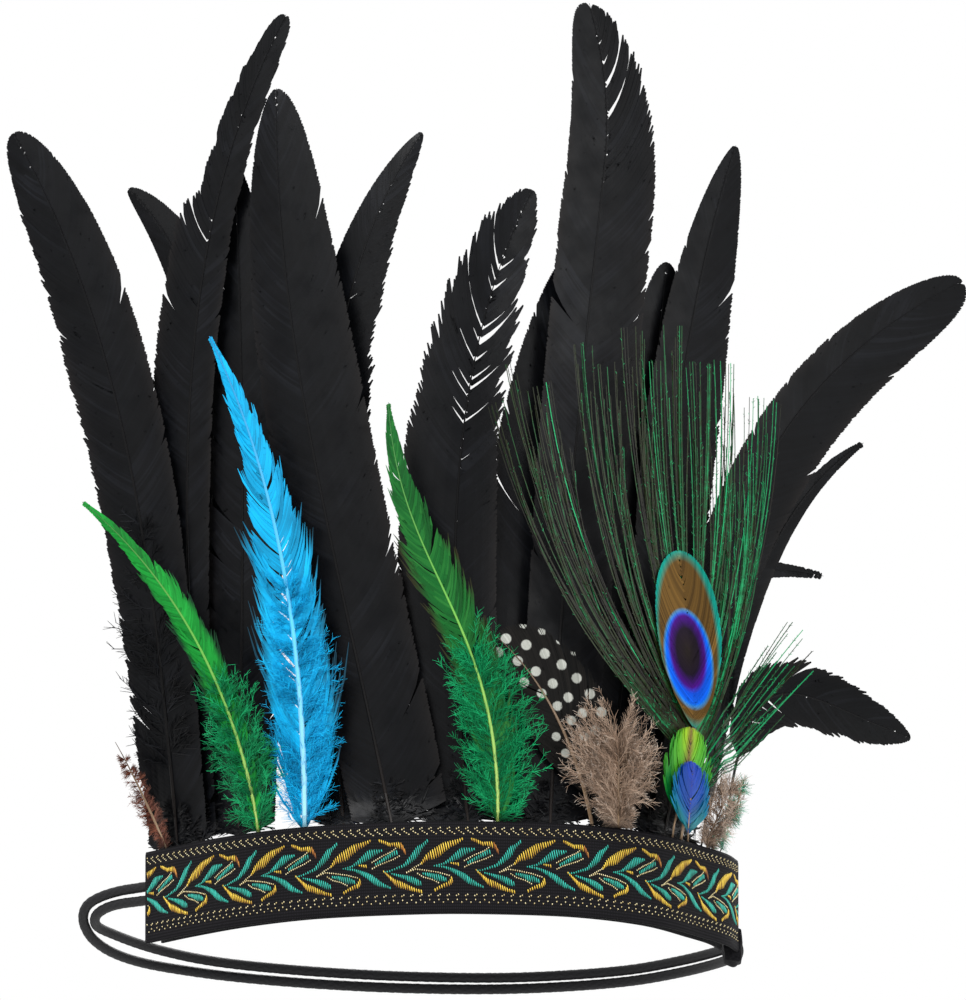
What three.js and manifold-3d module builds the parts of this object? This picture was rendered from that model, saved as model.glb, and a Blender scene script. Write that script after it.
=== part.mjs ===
// Feathered headband: a woven ribbon with a row of feathers standing behind it, closed by two elastic cords.
// Millimetres, +Z up, +X to the wearer's left, -Y out from the forehead.
// The origin is the middle of the ring at half the height of the ribbon, where the head goes through.
import * as THREE from 'three';
import { mergeVertices } from 'three/addons/utils/BufferGeometryUtils.js';
import Module from 'manifold-3d';

const wasm = await Module();
wasm.setup();

const { lerp, degToRad } = THREE.MathUtils;
const smooth = (t) => THREE.MathUtils.smoothstep(t, 0, 1);

// ---- driving dimensions -------------------------------------------------------------------------
const ribbonHeight = 25;
const ribbonThickness = 1.2;
const backingHeight = 24;
const backingThickness = 1.2;
const pocket = 3.4; // room between ribbon and backing, where the quills and cord ends sit
const bandTop = ribbonHeight / 2;
const pieceGap = 0.3;

const quillHalfWidth = 1;
const quillHalfDepth = 1.2;
const quillFoot = -8;
const vaneHalfDepth = 0.5;
const quillFade = 7; // height over which a quill thins down to its vane

const flareHeight = 60; // height over which the feathers leave the band's curve for the open fan
const fanFront = { x: 15, y: -73, softness: 40, left: 0.6, right: 0.75 };
const backLean = 12;
const fullHeight = 240;
const spreadHeight = 150; // the layers stand twice as far apart at this height

const frontLayerStart = 0.9;
const frontLayerPitch = 1.5;
const backLayerPitch = 1.7;
const frontSettle = 2.5;
const backSettle = 8;

const cordDiameter = 2.8;
const cordSides = 8;
const cordSteps = 56;

// ---- colours ------------------------------------------------------------------------------------
const finishes = {
  ribbon: { color: 0x24222a, roughness: 0.85, metalness: 0 },
  felt: { color: 0x131315, roughness: 0.95, metalness: 0 },
  elastic: { color: 0x19191b, roughness: 0.7, metalness: 0 },
  black: { color: 0x121316, roughness: 0.5, metalness: 0 },
  green: { color: 0x0f9a38, roughness: 0.7, metalness: 0 },
  turquoise: { color: 0x0aa5dc, roughness: 0.7, metalness: 0 },
  spotted: { color: 0x2c2b2b, roughness: 0.7, metalness: 0 },
  brown: { color: 0x8a7060, roughness: 0.9, metalness: 0 },
  rust: { color: 0x6b3526, roughness: 0.9, metalness: 0 },
  teal: { color: 0x15805c, roughness: 0.8, metalness: 0 },
  peacock: { color: 0x23663c, roughness: 0.45, metalness: 0 },
  lime: { color: 0x52b52a, roughness: 0.4, metalness: 0 },
  blue: { color: 0x1450b4, roughness: 0.4, metalness: 0 },
};

// ---- the band's way round the forehead, seen from above --------------------------------------------
const bandStations = [
  { place: 'left end', x: -70.5, y: -23 },
  { place: 'left temple', x: -61, y: -35.5 },
  { place: 'left brow', x: -46, y: -52 },
  { place: 'left forehead', x: -26.5, y: -66 },
  { place: 'middle', x: -2, y: -73.5 },
  { place: 'foremost', x: 19, y: -75 },
  { place: 'right forehead', x: 46, y: -69.5 },
  { place: 'right brow', x: 67, y: -54 },
  { place: 'right temple', x: 80.5, y: -32 },
  { place: 'right side', x: 86.5, y: -20 },
  { place: 'right end', x: 89.3, y: -9 },
];
const bandSections = 44;
const bandCurve = new THREE.CatmullRomCurve3(
  bandStations.map(({ x, y }) => new THREE.Vector3(x, y, 0)), false, 'catmullrom', 0.5);

// A point on the band at a share of its length, moved inward from the ribbon's middle surface.
function bandPoint(share, inward) {
  const point = bandCurve.getPointAt(share);
  const tangent = bandCurve.getTangentAt(share);
  return new THREE.Vector3(point.x - tangent.y * inward, point.y + tangent.x * inward, 0);
}

const pocketInward = ribbonThickness / 2 + pocket / 2;
const backingInward = ribbonThickness / 2 + pocket + backingThickness / 2;
const pocketLine = Array.from({ length: 201 }, (_, i) => bandPoint(i / 200, pocketInward));
const beyondEnds = { left: -0.8, right: 1 }; // how the pocket's line runs on past the band's ends

// ---- the surface that the feathers stand in ----------------------------------------------------------
function pocketDepth(x) {
  const first = pocketLine[0];
  const last = pocketLine[pocketLine.length - 1];
  if (x <= first.x) return first.y + beyondEnds.left * (x - first.x);
  if (x >= last.x) return last.y + beyondEnds.right * (x - last.x);
  const next = pocketLine.findIndex((p) => p.x > x);
  const a = pocketLine[next - 1];
  const b = pocketLine[next];
  return lerp(a.y, b.y, (x - a.x) / (b.x - a.x));
}

function fanDepth(x) {
  const slope = x > fanFront.x ? fanFront.right : fanFront.left;
  return fanFront.y + slope * (Math.hypot(x - fanFront.x, fanFront.softness) - fanFront.softness);
}

function surfaceDepth(x, z) {
  const flare = smooth((z - bandTop) / flareHeight);
  const lean = backLean * (Math.max(z, 0) / fullHeight) ** 2;
  return lerp(pocketDepth(x), fanDepth(x), flare) + lean;
}

// How much longer the surface is than it looks from the front.
function sideStretch(x, z) {
  const run = 1.5;
  return Math.hypot(1, (surfaceDepth(x + run, z) - surfaceDepth(x - run, z)) / (2 * run));
}

// Layer 0 is the pocket's own surface, negative layers lie before it and positive ones behind it.
function layerOffset(layer, z) {
  const front = layer < 0;
  const full = front ? frontLayerPitch * layer - frontLayerStart : backLayerPitch * layer;
  const settled = smooth((z - bandTop) / (front ? frontSettle : backSettle));
  return full * settled * (1 + Math.max(z, 0) / spreadHeight);
}

// ---- closed solids from rings of points ---------------------------------------------------------------
function solidFromRings(rings) {
  const sides = rings[0].length;
  const positions = rings.flat().flatMap((p) => [p.x, p.y, p.z]);
  const faces = [];
  for (let r = 0; r + 1 < rings.length; r += 1) {
    for (let s = 0; s < sides; s += 1) {
      const a = r * sides + s;
      const b = r * sides + ((s + 1) % sides);
      faces.push(a, b, b + sides, a, b + sides, a + sides);
    }
  }
  const last = (rings.length - 1) * sides;
  for (let s = 0; s + 1 < sides / 2; s += 1) {
    const [a, b, c, d] = [s, s + 1, sides - 2 - s, sides - 1 - s];
    faces.push(a, c, b, a, d, c);
    faces.push(last + a, last + b, last + c, last + a, last + c, last + d);
  }
  const geometry = new THREE.BufferGeometry();
  geometry.setAttribute('position', new THREE.Float32BufferAttribute(positions, 3));
  geometry.setIndex(faces);
  return geometry;
}

function toManifold(geometry) {
  const bare = geometry.clone();
  bare.deleteAttribute('normal');
  bare.deleteAttribute('uv');
  const merged = mergeVertices(bare, 1e-4);
  return new wasm.Manifold(new wasm.Mesh({
    numProp: 3,
    vertProperties: new Float32Array(merged.attributes.position.array),
    triVerts: new Uint32Array(merged.index.array),
  }));
}

function fromManifold(solid) {
  const mesh = solid.getMesh();
  const geometry = new THREE.BufferGeometry();
  geometry.setAttribute('position', new THREE.BufferAttribute(mesh.vertProperties, 3));
  geometry.setIndex(new THREE.BufferAttribute(mesh.triVerts, 1));
  return geometry;
}

// ---- ribbon and backing -------------------------------------------------------------------------------
function bandStrip(inward, thickness, height, from, to) {
  const rings = [];
  for (let i = 0; i <= bandSections; i += 1) {
    const share = lerp(from, to, i / bandSections);
    const outer = bandPoint(share, inward - thickness / 2);
    const inner = bandPoint(share, inward + thickness / 2);
    const ring = [[outer, -1], [inner, -1], [inner, 1], [outer, 1]]
      .map(([p, side]) => new THREE.Vector3(p.x, p.y, side * height / 2));
    rings.push(ring);
  }
  return solidFromRings(rings);
}

// ---- feathers -----------------------------------------------------------------------------------------
// layer: depth order, base: where the quill leaves the band, tip: the end of the shaft,
// baseLean and tipLean: degrees from upright, + to +X, reach: how far those leans hold, as shares of the
// chord, curl: sideways hook of the last fifth, left and right: widest half-widths of the vane,
// low: width that the vane already has just above the band, as a share of its widest, or else
// bare: share of the shaft before the vane starts, widest: share at which it is widest,
// point: 1 for a lance-shaped tip, 2 for a round one, 3 for a blunt one,
// down and downRight: half-widths of the downy locks at the base, downTo: share of the length that they reach.
const feathers = [
  { name: 'rust_down', color: 'rust', layer: -1, base: -65, quillFoot: 7.5, tip: [-79, 42], baseLean: -22, tipLean: -30,
    left: 4, right: 2, bare: 0.1, widest: 0.5, point: 1.2, down: 4.5, downRight: 3, downTo: 0.9 },
  { name: 'black_feather_far_left', color: 'black', layer: 1, base: -62, tip: [-107.5, 214], baseLean: -5,
    tipLean: -28, left: 10.5, right: 11, low: 0.75, widest: 0.58, point: 2.2, down: 15, downRight: 7.5, downTo: 0.46 },
  { name: 'black_feather_bent_left', color: 'black', layer: 4, base: -58.5, tip: [-76, 197.5],
    baseLean: -2, tipLean: -42, left: 6.5, right: 9, low: 0.8, widest: 0.6, point: 1.8 },
  { name: 'black_feather_tall_left', color: 'black', layer: 2, base: -55.5, tip: [-33, 240.5],
    baseLean: -3, tipLean: 28, left: 10.3, right: 6.3, low: 0.65, widest: 0.5, point: 3 },
  { name: 'black_feather_behind_left', color: 'black', layer: 3, base: -45.5, tip: [-47, 201],
    baseLean: 1, tipLean: -3, left: 9, right: 11, low: 0.9, widest: 0.45, point: 1.7 },
  { name: 'green_hackle_left', color: 'green', layer: -2, base: -40, tip: [-88, 106.5],
    baseLean: -8, tipLean: -48, left: 3.5, right: 4, bare: 0, widest: 0.5, point: 1.1, down: 11, downTo: 0.42 },
  { name: 'turquoise_hackle', color: 'turquoise', layer: -1, base: -27.5, tip: [-53.5, 149.5],
    baseLean: 0, tipLean: -25, left: 9, right: 9, bare: 0, widest: 0.36, point: 1, down: 14, downTo: 0.5 },
  { name: 'black_feather_bent_middle', color: 'black', layer: 3, base: -17, tip: [4, 205.5],
    baseLean: -4, tipLean: 34, left: 9, right: 11.5, low: 1, widest: 0.5, point: 1.6 },
  { name: 'black_feather_front_left', color: 'black', layer: 1, base: -4, tip: [-35.5, 219],
    baseLean: -11, tipLean: 1, left: 11, right: 15.5, low: 0.95, widest: 0.45, point: 1.9 },
  { name: 'black_feather_centre', color: 'black', layer: 2, base: 16.5, tip: [34, 189],
    baseLean: -5, tipLean: 26, left: 14, right: 11, low: 1, widest: 0.5, point: 2.2 },
  { name: 'green_hackle_centre', color: 'green', layer: -1, base: 24.5, tip: [-5, 127.5],
    baseLean: 1, tipLean: -3, reach: [0.47, 0.4], left: 6, right: 7, bare: 0, widest: 0.45, point: 1.1,
    down: 14, downRight: 18, downTo: 0.42 },
  { name: 'black_feather_wide_behind', color: 'black', layer: 3, base: 30.5, tip: [47, 176],
    baseLean: 1, tipLean: 12, left: 14, right: 13, low: 0.9, widest: 0.45, point: 1.7 },
  { name: 'black_feather_tallest', color: 'black', layer: 1, base: 38.6, tip: [58.3, 242],
    baseLean: 2, tipLean: 6, curl: -9, left: 10.5, right: 14.5, low: 0.8, widest: 0.66, point: 2.6 },
  { name: 'guinea_fowl_feather', color: 'spotted', layer: 0, base: 50, tip: [23.5, 64],
    baseLean: -10, tipLean: -50, left: 9, right: 14, bare: 0.2, widest: 0.55, point: 2 },
  { name: 'black_feather_round_tip', color: 'black', layer: 4, base: 54, tip: [70.5, 174],
    baseLean: 5, tipLean: 6, left: 9, right: 9, low: 0.9, widest: 0.55, point: 2 },
  { name: 'brown_down_front', color: 'brown', layer: -3, base: 57, tip: [57, 36], baseLean: 0, tipLean: 0,
    left: 8, right: 8, bare: 0, widest: 0.5, point: 1.5, down: 19, downRight: 14, downTo: 1 },
  { name: 'black_feather_right_upright', color: 'black', layer: 3, base: 65, tip: [89.3, 208.5],
    baseLean: 3, tipLean: 17, left: 8.5, right: 11.5, low: 0.7, widest: 0.55, point: 1.6 },
  { name: 'black_feather_far_right', color: 'black', layer: 2, base: 69.3, tip: [151.5, 177.5],
    baseLean: 9, tipLean: 57, reach: [0.4, 0.4], left: 7.5, right: 12, low: 0.5, widest: 0.6, point: 2.6 },
  { name: 'lime_scale_feather', color: 'lime', layer: -3, base: 71.5, tip: [76.6, 42],
    baseLean: 12, tipLean: 0, left: 6.6, right: 6.6, bare: 0.25, widest: 0.6, point: 2 },
  { name: 'blue_body_feather', color: 'blue', layer: -4, base: 75.8, tip: [77, 32.5],
    baseLean: 2, tipLean: 0, left: 5.3, right: 5.3, bare: 0.1, widest: 0.55, point: 2 },
  { name: 'black_feather_thin_right', color: 'black', layer: 3, base: 79.4, tip: [124, 129],
    baseLean: 8, tipLean: 52, left: 4, right: 3, bare: 0.1, widest: 0.6, point: 1.3 },
  { name: 'black_feather_wisp_right', color: 'black', layer: 5, base: 77.6, tip: [113, 91.5],
    baseLean: 2, tipLean: 95, reach: [0.85, 0.35], left: 2.2, right: 2.2, bare: 0.3, widest: 0.75, point: 1.3 },
  { name: 'brown_down_right', color: 'brown', layer: -1, base: 80.9, tip: [87.5, 31], baseLean: 12, tipLean: 12,
    left: 2, right: 2, bare: 0, widest: 0.5, point: 1.5, down: 4.5, downRight: 5.5, downTo: 1 },
  { name: 'teal_down_right', color: 'teal', layer: 1, base: 82.65, tip: [91, 33], baseLean: 9, tipLean: 14,
    left: 1.5, right: 1.5, bare: 0, widest: 0.5, point: 1.5, down: 2, downRight: 1.8, downTo: 1 },
  { name: 'black_feather_drooping_right', color: 'black', layer: 4, base: 84.6, tip: [137, 51],
    baseLean: 7, tipLean: 101, reach: [0.95, 0.55], left: 8.5, right: 8, bare: 0.35, widest: 0.62, point: 1.5 },
];
const peacock = { name: 'peacock_feather', layer: -2, base: 73.8, tip: [73, 89.5], baseLean: 14, tipLean: -10,
  left: 8.6, right: 8.6, bare: 0.42, widest: 0.72, point: 2 };

const vaneSteps = 12;
const tipSteps = 4;
const lockPitch = 7;
const lockDepth = 0.3;
const shaftRidge = 0.35;
const vaneFullness = 0.35; // the lower it is, the sooner a vane reaches its full width
const downStart = 2.5; // the down opens out clear of the ribbon
const downFoot = 0.6; // and is narrower there by this share
const vaneOpening = { start: 3.5, run: 5 }; // and so do the broad vanes, once the layers have parted

// The shaft's line in the unwrapped fan: x to the side, z up.
function shaftCurve({ base, tip, baseLean, tipLean, reach = [1 / 3, 1 / 3] }) {
  const start = new THREE.Vector2(base, bandTop);
  const end = new THREE.Vector2(...tip);
  const chord = start.distanceTo(end);
  const handle = (lean, share) => new THREE.Vector2(Math.sin(degToRad(lean)), Math.cos(degToRad(lean)))
    .multiplyScalar(chord * share);
  const afterStart = start.clone().add(handle(baseLean, reach[0]));
  const beforeEnd = end.clone().sub(handle(tipLean, reach[1]));
  return new THREE.CubicBezierCurve(start, afterStart, beforeEnd, end);
}

function vaneShare(u, length, { low, bare, widest, point }) {
  const toTip = Math.max(0, (u - widest) / (1 - widest));
  if (toTip > 0) return (1 - toTip ** (1.2 * point)) ** (1 / point);
  if (low) return lerp(low, 1, smooth(u / widest)) * smooth((u * length - vaneOpening.start) / vaneOpening.run);
  return u > bare ? smooth((u - bare) / (widest - bare)) ** vaneFullness : 0;
}

// Downy locks: a lobed outline that is widest low down and fades into the vane.
function downShare(u, length, { down, downTo }) {
  if (!down || u >= downTo) return 0;
  const along = u / downTo;
  const body = Math.min(smooth((u * length - downStart) / downStart), Math.sqrt(1 - along ** 3));
  const lock = (u * length / lockPitch) % 1;
  return body * lerp(downFoot, 1, smooth(along / 0.5)) * (1 - lockDepth * lock);
}

function featherStations(length, downTo) {
  const near = [0, 1.3, 2.6, 5, 8, 12].filter((d) => d < length * 0.4);
  const evenly = (from, to, steps) => Array.from({ length: steps }, (_, i) => lerp(from, to, (i + 1) / steps));
  if (downTo) {
    const from = near[near.length - 1];
    near.push(...evenly(from, length * downTo * 0.94, Math.ceil((length * downTo - from) / (lockPitch / 2))));
  }
  const start = near[near.length - 1];
  const steps = Math.max(1, Math.ceil((vaneSteps * (length - start)) / length));
  const even = evenly(start, length, steps + 1).slice(0, -1);
  const lastEven = even[even.length - 1];
  const tip = Array.from({ length: tipSteps }, (_, i) => lerp(lastEven, length, Math.sin(((i + 1) / tipSteps) * Math.PI / 2)));
  return [...near, ...even, ...tip].map((d) => d / length);
}

// Six points round the shaft: left edge, shaft ridge and right edge, before and behind the surface.
function featherRing(layer, middle, left, right, edgeDepth, shaftDepth) {
  const place = (p, side) => {
    const stretch = sideStretch(p.x, p.y);
    const depth = layerOffset(layer, p.y) + side * (p === middle ? shaftDepth : edgeDepth);
    return new THREE.Vector3(p.x, surfaceDepth(p.x, p.y) + depth * stretch, p.y);
  };
  return [place(left, -1), place(middle, -1), place(right, -1), place(right, 1), place(middle, 1), place(left, 1)];
}

function featherSolid(row) {
  const curve = shaftCurve(row);
  const length = curve.getLength();
  const rings = [];
  const quill = (z) => {
    const half = quillHalfWidth / sideStretch(row.base, z);
    const middle = new THREE.Vector2(row.base, z);
    return featherRing(row.layer, middle, new THREE.Vector2(row.base - half, z),
      new THREE.Vector2(row.base + half, z), quillHalfDepth, quillHalfDepth);
  };
  rings.push(quill(row.quillFoot ?? quillFoot));
  for (const u of featherStations(length, row.downTo)) {
    const point = curve.getPointAt(u);
    const tangent = curve.getTangentAt(u);
    const across = new THREE.Vector2(tangent.y, -tangent.x);
    const hook = (row.curl ?? 0) * Math.max(0, (u - 0.8) / 0.2) ** 2;
    const middle = point.clone().add(new THREE.Vector2(hook, 0));
    const high = point.y - bandTop;
    const stem = quillHalfWidth / lerp(sideStretch(point.x, point.y), 1, smooth(high / quillFade)) * (1 - 0.6 * u);
    const vane = vaneShare(u, length, row);
    const downLeft = downShare(u, length, row);
    const leftHalf = Math.max(stem, row.left * vane, (row.down ?? 0) * downLeft);
    const rightHalf = Math.max(stem, row.right * vane, (row.downRight ?? row.down ?? 0) * downLeft);
    const fade = row.layer < 0 ? frontSettle : quillFade;
    const edgeDepth = lerp(quillHalfDepth, vaneHalfDepth, smooth(high / (row.low ? vaneOpening.start : fade)));
    const left = middle.clone().addScaledVector(across, -leftHalf);
    const right = middle.clone().addScaledVector(across, rightHalf);
    left.y = Math.max(left.y, Math.min(middle.y, bandTop + 1));
    right.y = Math.max(right.y, Math.min(middle.y, bandTop + 1));
    const shaftDepth = lerp(quillHalfDepth, vaneHalfDepth + shaftRidge * (1 - u), smooth(high / fade));
    rings.push(featherRing(row.layer, middle, left, right, edgeDepth, shaftDepth));
  }
  return solidFromRings(rings);
}

// ---- peacock feather: the eye on its shaft with the long loose herl round it -------------------------------
// root: height on the shaft, tip: end of the strand, bow: how far the strand swings out below its tip.
const herl = [
  { root: 38, tip: [24.5, 127], bow: 0.34 },
  { root: 38, tip: [28.5, 138], bow: 0.32 },
  { root: 40, tip: [36, 132], bow: 0.3 },
  { root: 42, tip: [46, 144], bow: 0.26 },
  { root: 44, tip: [53, 139], bow: 0.22 },
  { root: 48, tip: [61, 150], bow: 0.16 },
  { root: 54, tip: [66, 141], bow: 0.1 },
  { root: 60, tip: [71.5, 151.5], bow: 0.05 },
  { root: 60, tip: [79, 142], bow: -0.05 },
  { root: 52, tip: [86, 143], bow: -0.12 },
  { root: 46, tip: [90, 134.5], bow: -0.18 },
  { root: 42, tip: [98, 134], bow: -0.22 },
  { root: 38, tip: [93, 112], bow: -0.24 },
  { root: 32, tip: [105, 73], bow: 0.04 },
  { root: 29, tip: [110, 66], bow: 0.02 },
  { root: 25, tip: [99.5, 52], bow: 0 },
];
const herlHalfWidth = 1.3;
const herlSteps = 7;
const herlHalfDepth = 0.4;

function herlSolid({ root, tip, bow }, shaft, index) {
  const share = THREE.MathUtils.clamp((root - bandTop) / (peacock.tip[1] - bandTop), 0, 1);
  const start = shaft.getPoint(share);
  const end = new THREE.Vector2(...tip);
  const run = end.clone().sub(start);
  const control = start.clone().addScaledVector(run, 0.45)
    .add(new THREE.Vector2(-run.y, run.x).multiplyScalar(bow * 0.5));
  const curve = new THREE.QuadraticBezierCurve(start, control, end);
  const shift = index % 2 ? 0.08 : -0.08;
  const rings = [];
  for (let i = 0; i <= herlSteps; i += 1) {
    const u = i / herlSteps;
    const point = curve.getPoint(u);
    const tangent = curve.getTangent(u);
    const across = new THREE.Vector2(tangent.y, -tangent.x);
    const half = herlHalfWidth * (1 - 0.75 * u ** 4);
    const corner = (side, face) => {
      const p = point.clone().addScaledVector(across, side * half);
      const offset = layerOffset(peacock.layer, p.y) + shift + face * herlHalfDepth;
      return new THREE.Vector3(p.x, surfaceDepth(p.x, p.y) + offset * sideStretch(p.x, p.y), p.y);
    };
    rings.push([corner(-1, -1), corner(1, -1), corner(1, 1), corner(-1, 1)]);
  }
  return solidFromRings(rings);
}

function peacockSolid() {
  const shaft = shaftCurve(peacock);
  let solid = toManifold(featherSolid(peacock));
  herl.forEach((strand, index) => {
    solid = solid.add(toManifold(herlSolid(strand, shaft, index)));
  });
  return fromManifold(solid);
}

// ---- elastic cords: out of the pocket at the left, round the back, into the knot at the right ------------------
const outerCordRoute = [
  [-66.2, -24.7, 3.6], [-68.9, -21.3, 3.7], [-73, -16, 3.9], [-78, -9.6, 4.1], [-83, -3.2, 3.6],
  [-86.6, 2, 2.3], [-88, 6.5, 0.2], [-87.6, 11.5, -2.3], [-85.3, 18, -4.9], [-80.5, 28, -6.7],
  [-73, 40, -7.5], [-62, 51.5, -7.8], [-46, 63, -8.1], [-24, 71.5, -8.6], [0, 75.6, -9.1],
  [24, 74, -9.6], [44, 66, -10.1], [61, 54, -10.5], [74, 39, -10.6], [83, 23, -10.9], [87.6, 8, -11.6],
  [88.4, -1, -12],
];
const innerCordRoute = [
  [-66.2, -24.7, -0.2], [-68.9, -21.3, -0.1], [-73, -16, 0.2], [-77.5, -9.8, 0.6], [-81.2, -4.2, 0.5],
  [-84, 1.2, -0.3], [-84.9, 6.5, -1.4], [-84, 13, -2.2], [-80.2, 21.5, -2.7], [-73.6, 34, -3.3],
  [-66, 44.5, -3.9], [-55.5, 55, -4.5], [-42, 63.7, -4.9], [-22, 71.2, -5.4], [0, 75.1, -5.9],
  [24, 73.6, -6.5], [44, 65.6, -7], [61, 53.6, -7.4], [74, 38.6, -7.4], [83, 22.6, -7.7],
  [87.6, 8, -8.3], [88.4, -1, -8.7],
];

function cordSolid(route) {
  const section = new THREE.Shape(Array.from({ length: cordSides }, (_, i) => {
    const turn = ((i + 0.5) / cordSides) * 2 * Math.PI;
    return new THREE.Vector2(Math.cos(turn), Math.sin(turn)).multiplyScalar(cordDiameter / 2);
  }));
  const path = new THREE.CatmullRomCurve3(route.map((p) => new THREE.Vector3(...p)), false, 'catmullrom', 0.5);
  return new THREE.ExtrudeGeometry(section, { steps: cordSteps, extrudePath: path });
}

// ---- the knot of felt at the right end, which both cords run into ----------------------------------------------
const knot = { x: 88.2, y: -4.9, z: -10.4, width: 5.6, depth: 7, height: 10.6, lumps: 0.07 };
function knotSolid() {
  const geometry = new THREE.SphereGeometry(1, 14, 9);
  const positions = geometry.attributes.position;
  for (let i = 0; i < positions.count; i += 1) {
    const p = new THREE.Vector3().fromBufferAttribute(positions, i);
    const boxy = p.clone().divideScalar(Math.max(Math.abs(p.x), Math.abs(p.y), Math.abs(p.z)));
    const lump = 1 + knot.lumps * Math.sin(5 * p.z + 3 * p.x) * Math.cos(4 * p.y);
    p.lerp(boxy, 0.45).multiplyScalar(lump);
    const cutBack = Math.min(p.y, 0.86);
    const cutFront = Math.max(cutBack, -0.86);
    positions.setXYZ(i, knot.x + p.x * knot.width / 2, knot.y + cutFront * knot.depth / 2 / 0.86,
      knot.z + p.z * knot.height / 2);
  }
  return geometry;
}

// ---- assembly ------------------------------------------------------------------------------------------------
const headdress = new THREE.Group();
function place(name, geometry, finish) {
  const mesh = new THREE.Mesh(geometry, new THREE.MeshStandardMaterial(finishes[finish]));
  mesh.name = name;
  headdress.add(mesh);
}

place('ribbon_band', bandStrip(0, ribbonThickness, ribbonHeight, 0, 1), 'ribbon');
place('backing_strip', bandStrip(backingInward, backingThickness, backingHeight, 0.004, 1), 'felt');
place('end_knot', knotSolid(), 'felt');
place('elastic_cord_outer', cordSolid(outerCordRoute), 'elastic');
place('elastic_cord_inner', cordSolid(innerCordRoute), 'elastic');
for (const row of feathers) place(row.name, featherSolid(row), row.color);
place(peacock.name, peacockSolid(), 'peacock');

export default headdress;
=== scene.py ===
# %% [markdown]
# # A feathered headdress, one piece at a time
# The real thing is a stretch headband. A woven ribbon with a leaf pattern goes round the forehead, a
# row of feathers stands up behind it, and two elastic cords close the ring behind the head. This lesson
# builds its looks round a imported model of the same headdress, in metres and in the same place. Each
# cell makes one thing, says how the real one is made, and prints what it made.

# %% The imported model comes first
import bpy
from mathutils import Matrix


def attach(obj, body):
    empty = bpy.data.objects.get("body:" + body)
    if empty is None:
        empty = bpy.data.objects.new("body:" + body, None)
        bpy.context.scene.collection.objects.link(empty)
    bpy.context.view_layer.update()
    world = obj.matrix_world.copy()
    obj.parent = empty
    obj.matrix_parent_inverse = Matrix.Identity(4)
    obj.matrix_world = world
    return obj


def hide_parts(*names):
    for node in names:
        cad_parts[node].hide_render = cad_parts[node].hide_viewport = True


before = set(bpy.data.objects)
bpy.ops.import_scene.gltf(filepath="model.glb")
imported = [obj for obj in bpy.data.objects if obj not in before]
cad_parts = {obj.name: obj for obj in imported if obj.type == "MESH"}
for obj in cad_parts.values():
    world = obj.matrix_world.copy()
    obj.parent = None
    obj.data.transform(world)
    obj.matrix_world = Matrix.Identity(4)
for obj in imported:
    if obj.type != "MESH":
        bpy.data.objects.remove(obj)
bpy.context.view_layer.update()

print("packed nodes:", len(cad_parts))

# %% [markdown]
# ## Helpers for arrays
# A feather is hundreds of barbs and a ribbon hundreds of thread floats, so most shapes here are worked
# out as numpy arrays and turned into one joined mesh each. Lengths are in millimetres until the mesh is
# made.

# %% Imports and small maths helpers
import math

import bpy
import numpy as np
from mathutils import Vector

MM = 0.001


def smooth(t):
    """0 to 1 with a soft start and end."""
    t = np.clip(t, 0, 1)
    return t * t * (3 - 2 * t)


def mix(a, b, t):
    """From a to b by a share t."""
    return a + (b - a) * t


def run_of(points):
    """Distance along a line of points, from its start."""
    return np.r_[0, np.cumsum(np.linalg.norm(np.diff(points, axis=0), axis=1))]


def at_run(points, run, where):
    """Points of a line at the given distances along it."""
    return np.stack([np.interp(where, run, points[:, i]) for i in range(points.shape[1])], -1)


def smooth_line(stations, per_span=60):
    """A Catmull-Rom curve through the stations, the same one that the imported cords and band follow."""
    p = np.array(stations, float)
    p = np.vstack([2 * p[0] - p[1], p, 2 * p[-1] - p[-2]])
    t = np.linspace(0, 1, per_span, endpoint=False)[:, None]
    spans = []
    for a, b, c, d in zip(p, p[1:], p[2:], p[3:]):
        m0, m1 = (c - a) / 2, (d - b) / 2
        spans.append(b + m0 * t + (3 * (c - b) - 2 * m0 - m1) * t**2 + (2 * (b - c) + m0 + m1) * t**3)
    return np.vstack([*spans, p[-2:-1]])


# %% [markdown]
# ## Camera
# The view is from the front and a little below, from far away, so the lens is long and the feathers
# look flat on. The camera comes first.

# %% Camera
VIEW_CENTRE = Vector((0.0205, -0.055, 0.1037))
VIEW_HEIGHT = 0.270
VIEW_DISTANCE = 7.5
VIEW_TILT = math.radians(10)  # how far the camera looks up
SENSOR = 36

camera = bpy.data.objects.new("camera", bpy.data.cameras.new("camera"))
bpy.context.scene.collection.objects.link(camera)
toward = Vector((0, math.cos(VIEW_TILT), math.sin(VIEW_TILT)))
camera.location = VIEW_CENTRE - toward * VIEW_DISTANCE
camera.rotation_euler = toward.to_track_quat("-Z", "Y").to_euler()
camera.data.sensor_width = SENSOR
camera.data.lens = SENSOR * VIEW_DISTANCE / VIEW_HEIGHT
camera.data.clip_end = 50
bpy.context.scene.camera = camera
print("lens", round(camera.data.lens), "mm")

# %% [markdown]
# ## Materials
# Every finish is a small node tree. Patterns read object coordinates or an attribute that the mesh
# carries, so they stay on the piece from every side. `barb` is such an attribute: how far along the
# feather a barb starts, how far out along the barb a point is, a random number for each barb, and a
# number for the pattern of that feather.

# %% Material helpers
def new_material(name, roughness=0.5, specular=0.3, sheen=0.0):
    """An empty finish, with the values that are the same all over set on the shader."""
    material = bpy.data.materials.new(name)
    material.use_nodes = True
    shader = material.node_tree.nodes["Principled BSDF"]
    shader.inputs["Roughness"].default_value = roughness
    shader.inputs["Specular IOR Level"].default_value = specular
    shader.inputs["Sheen Weight"].default_value = sheen
    return material


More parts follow.
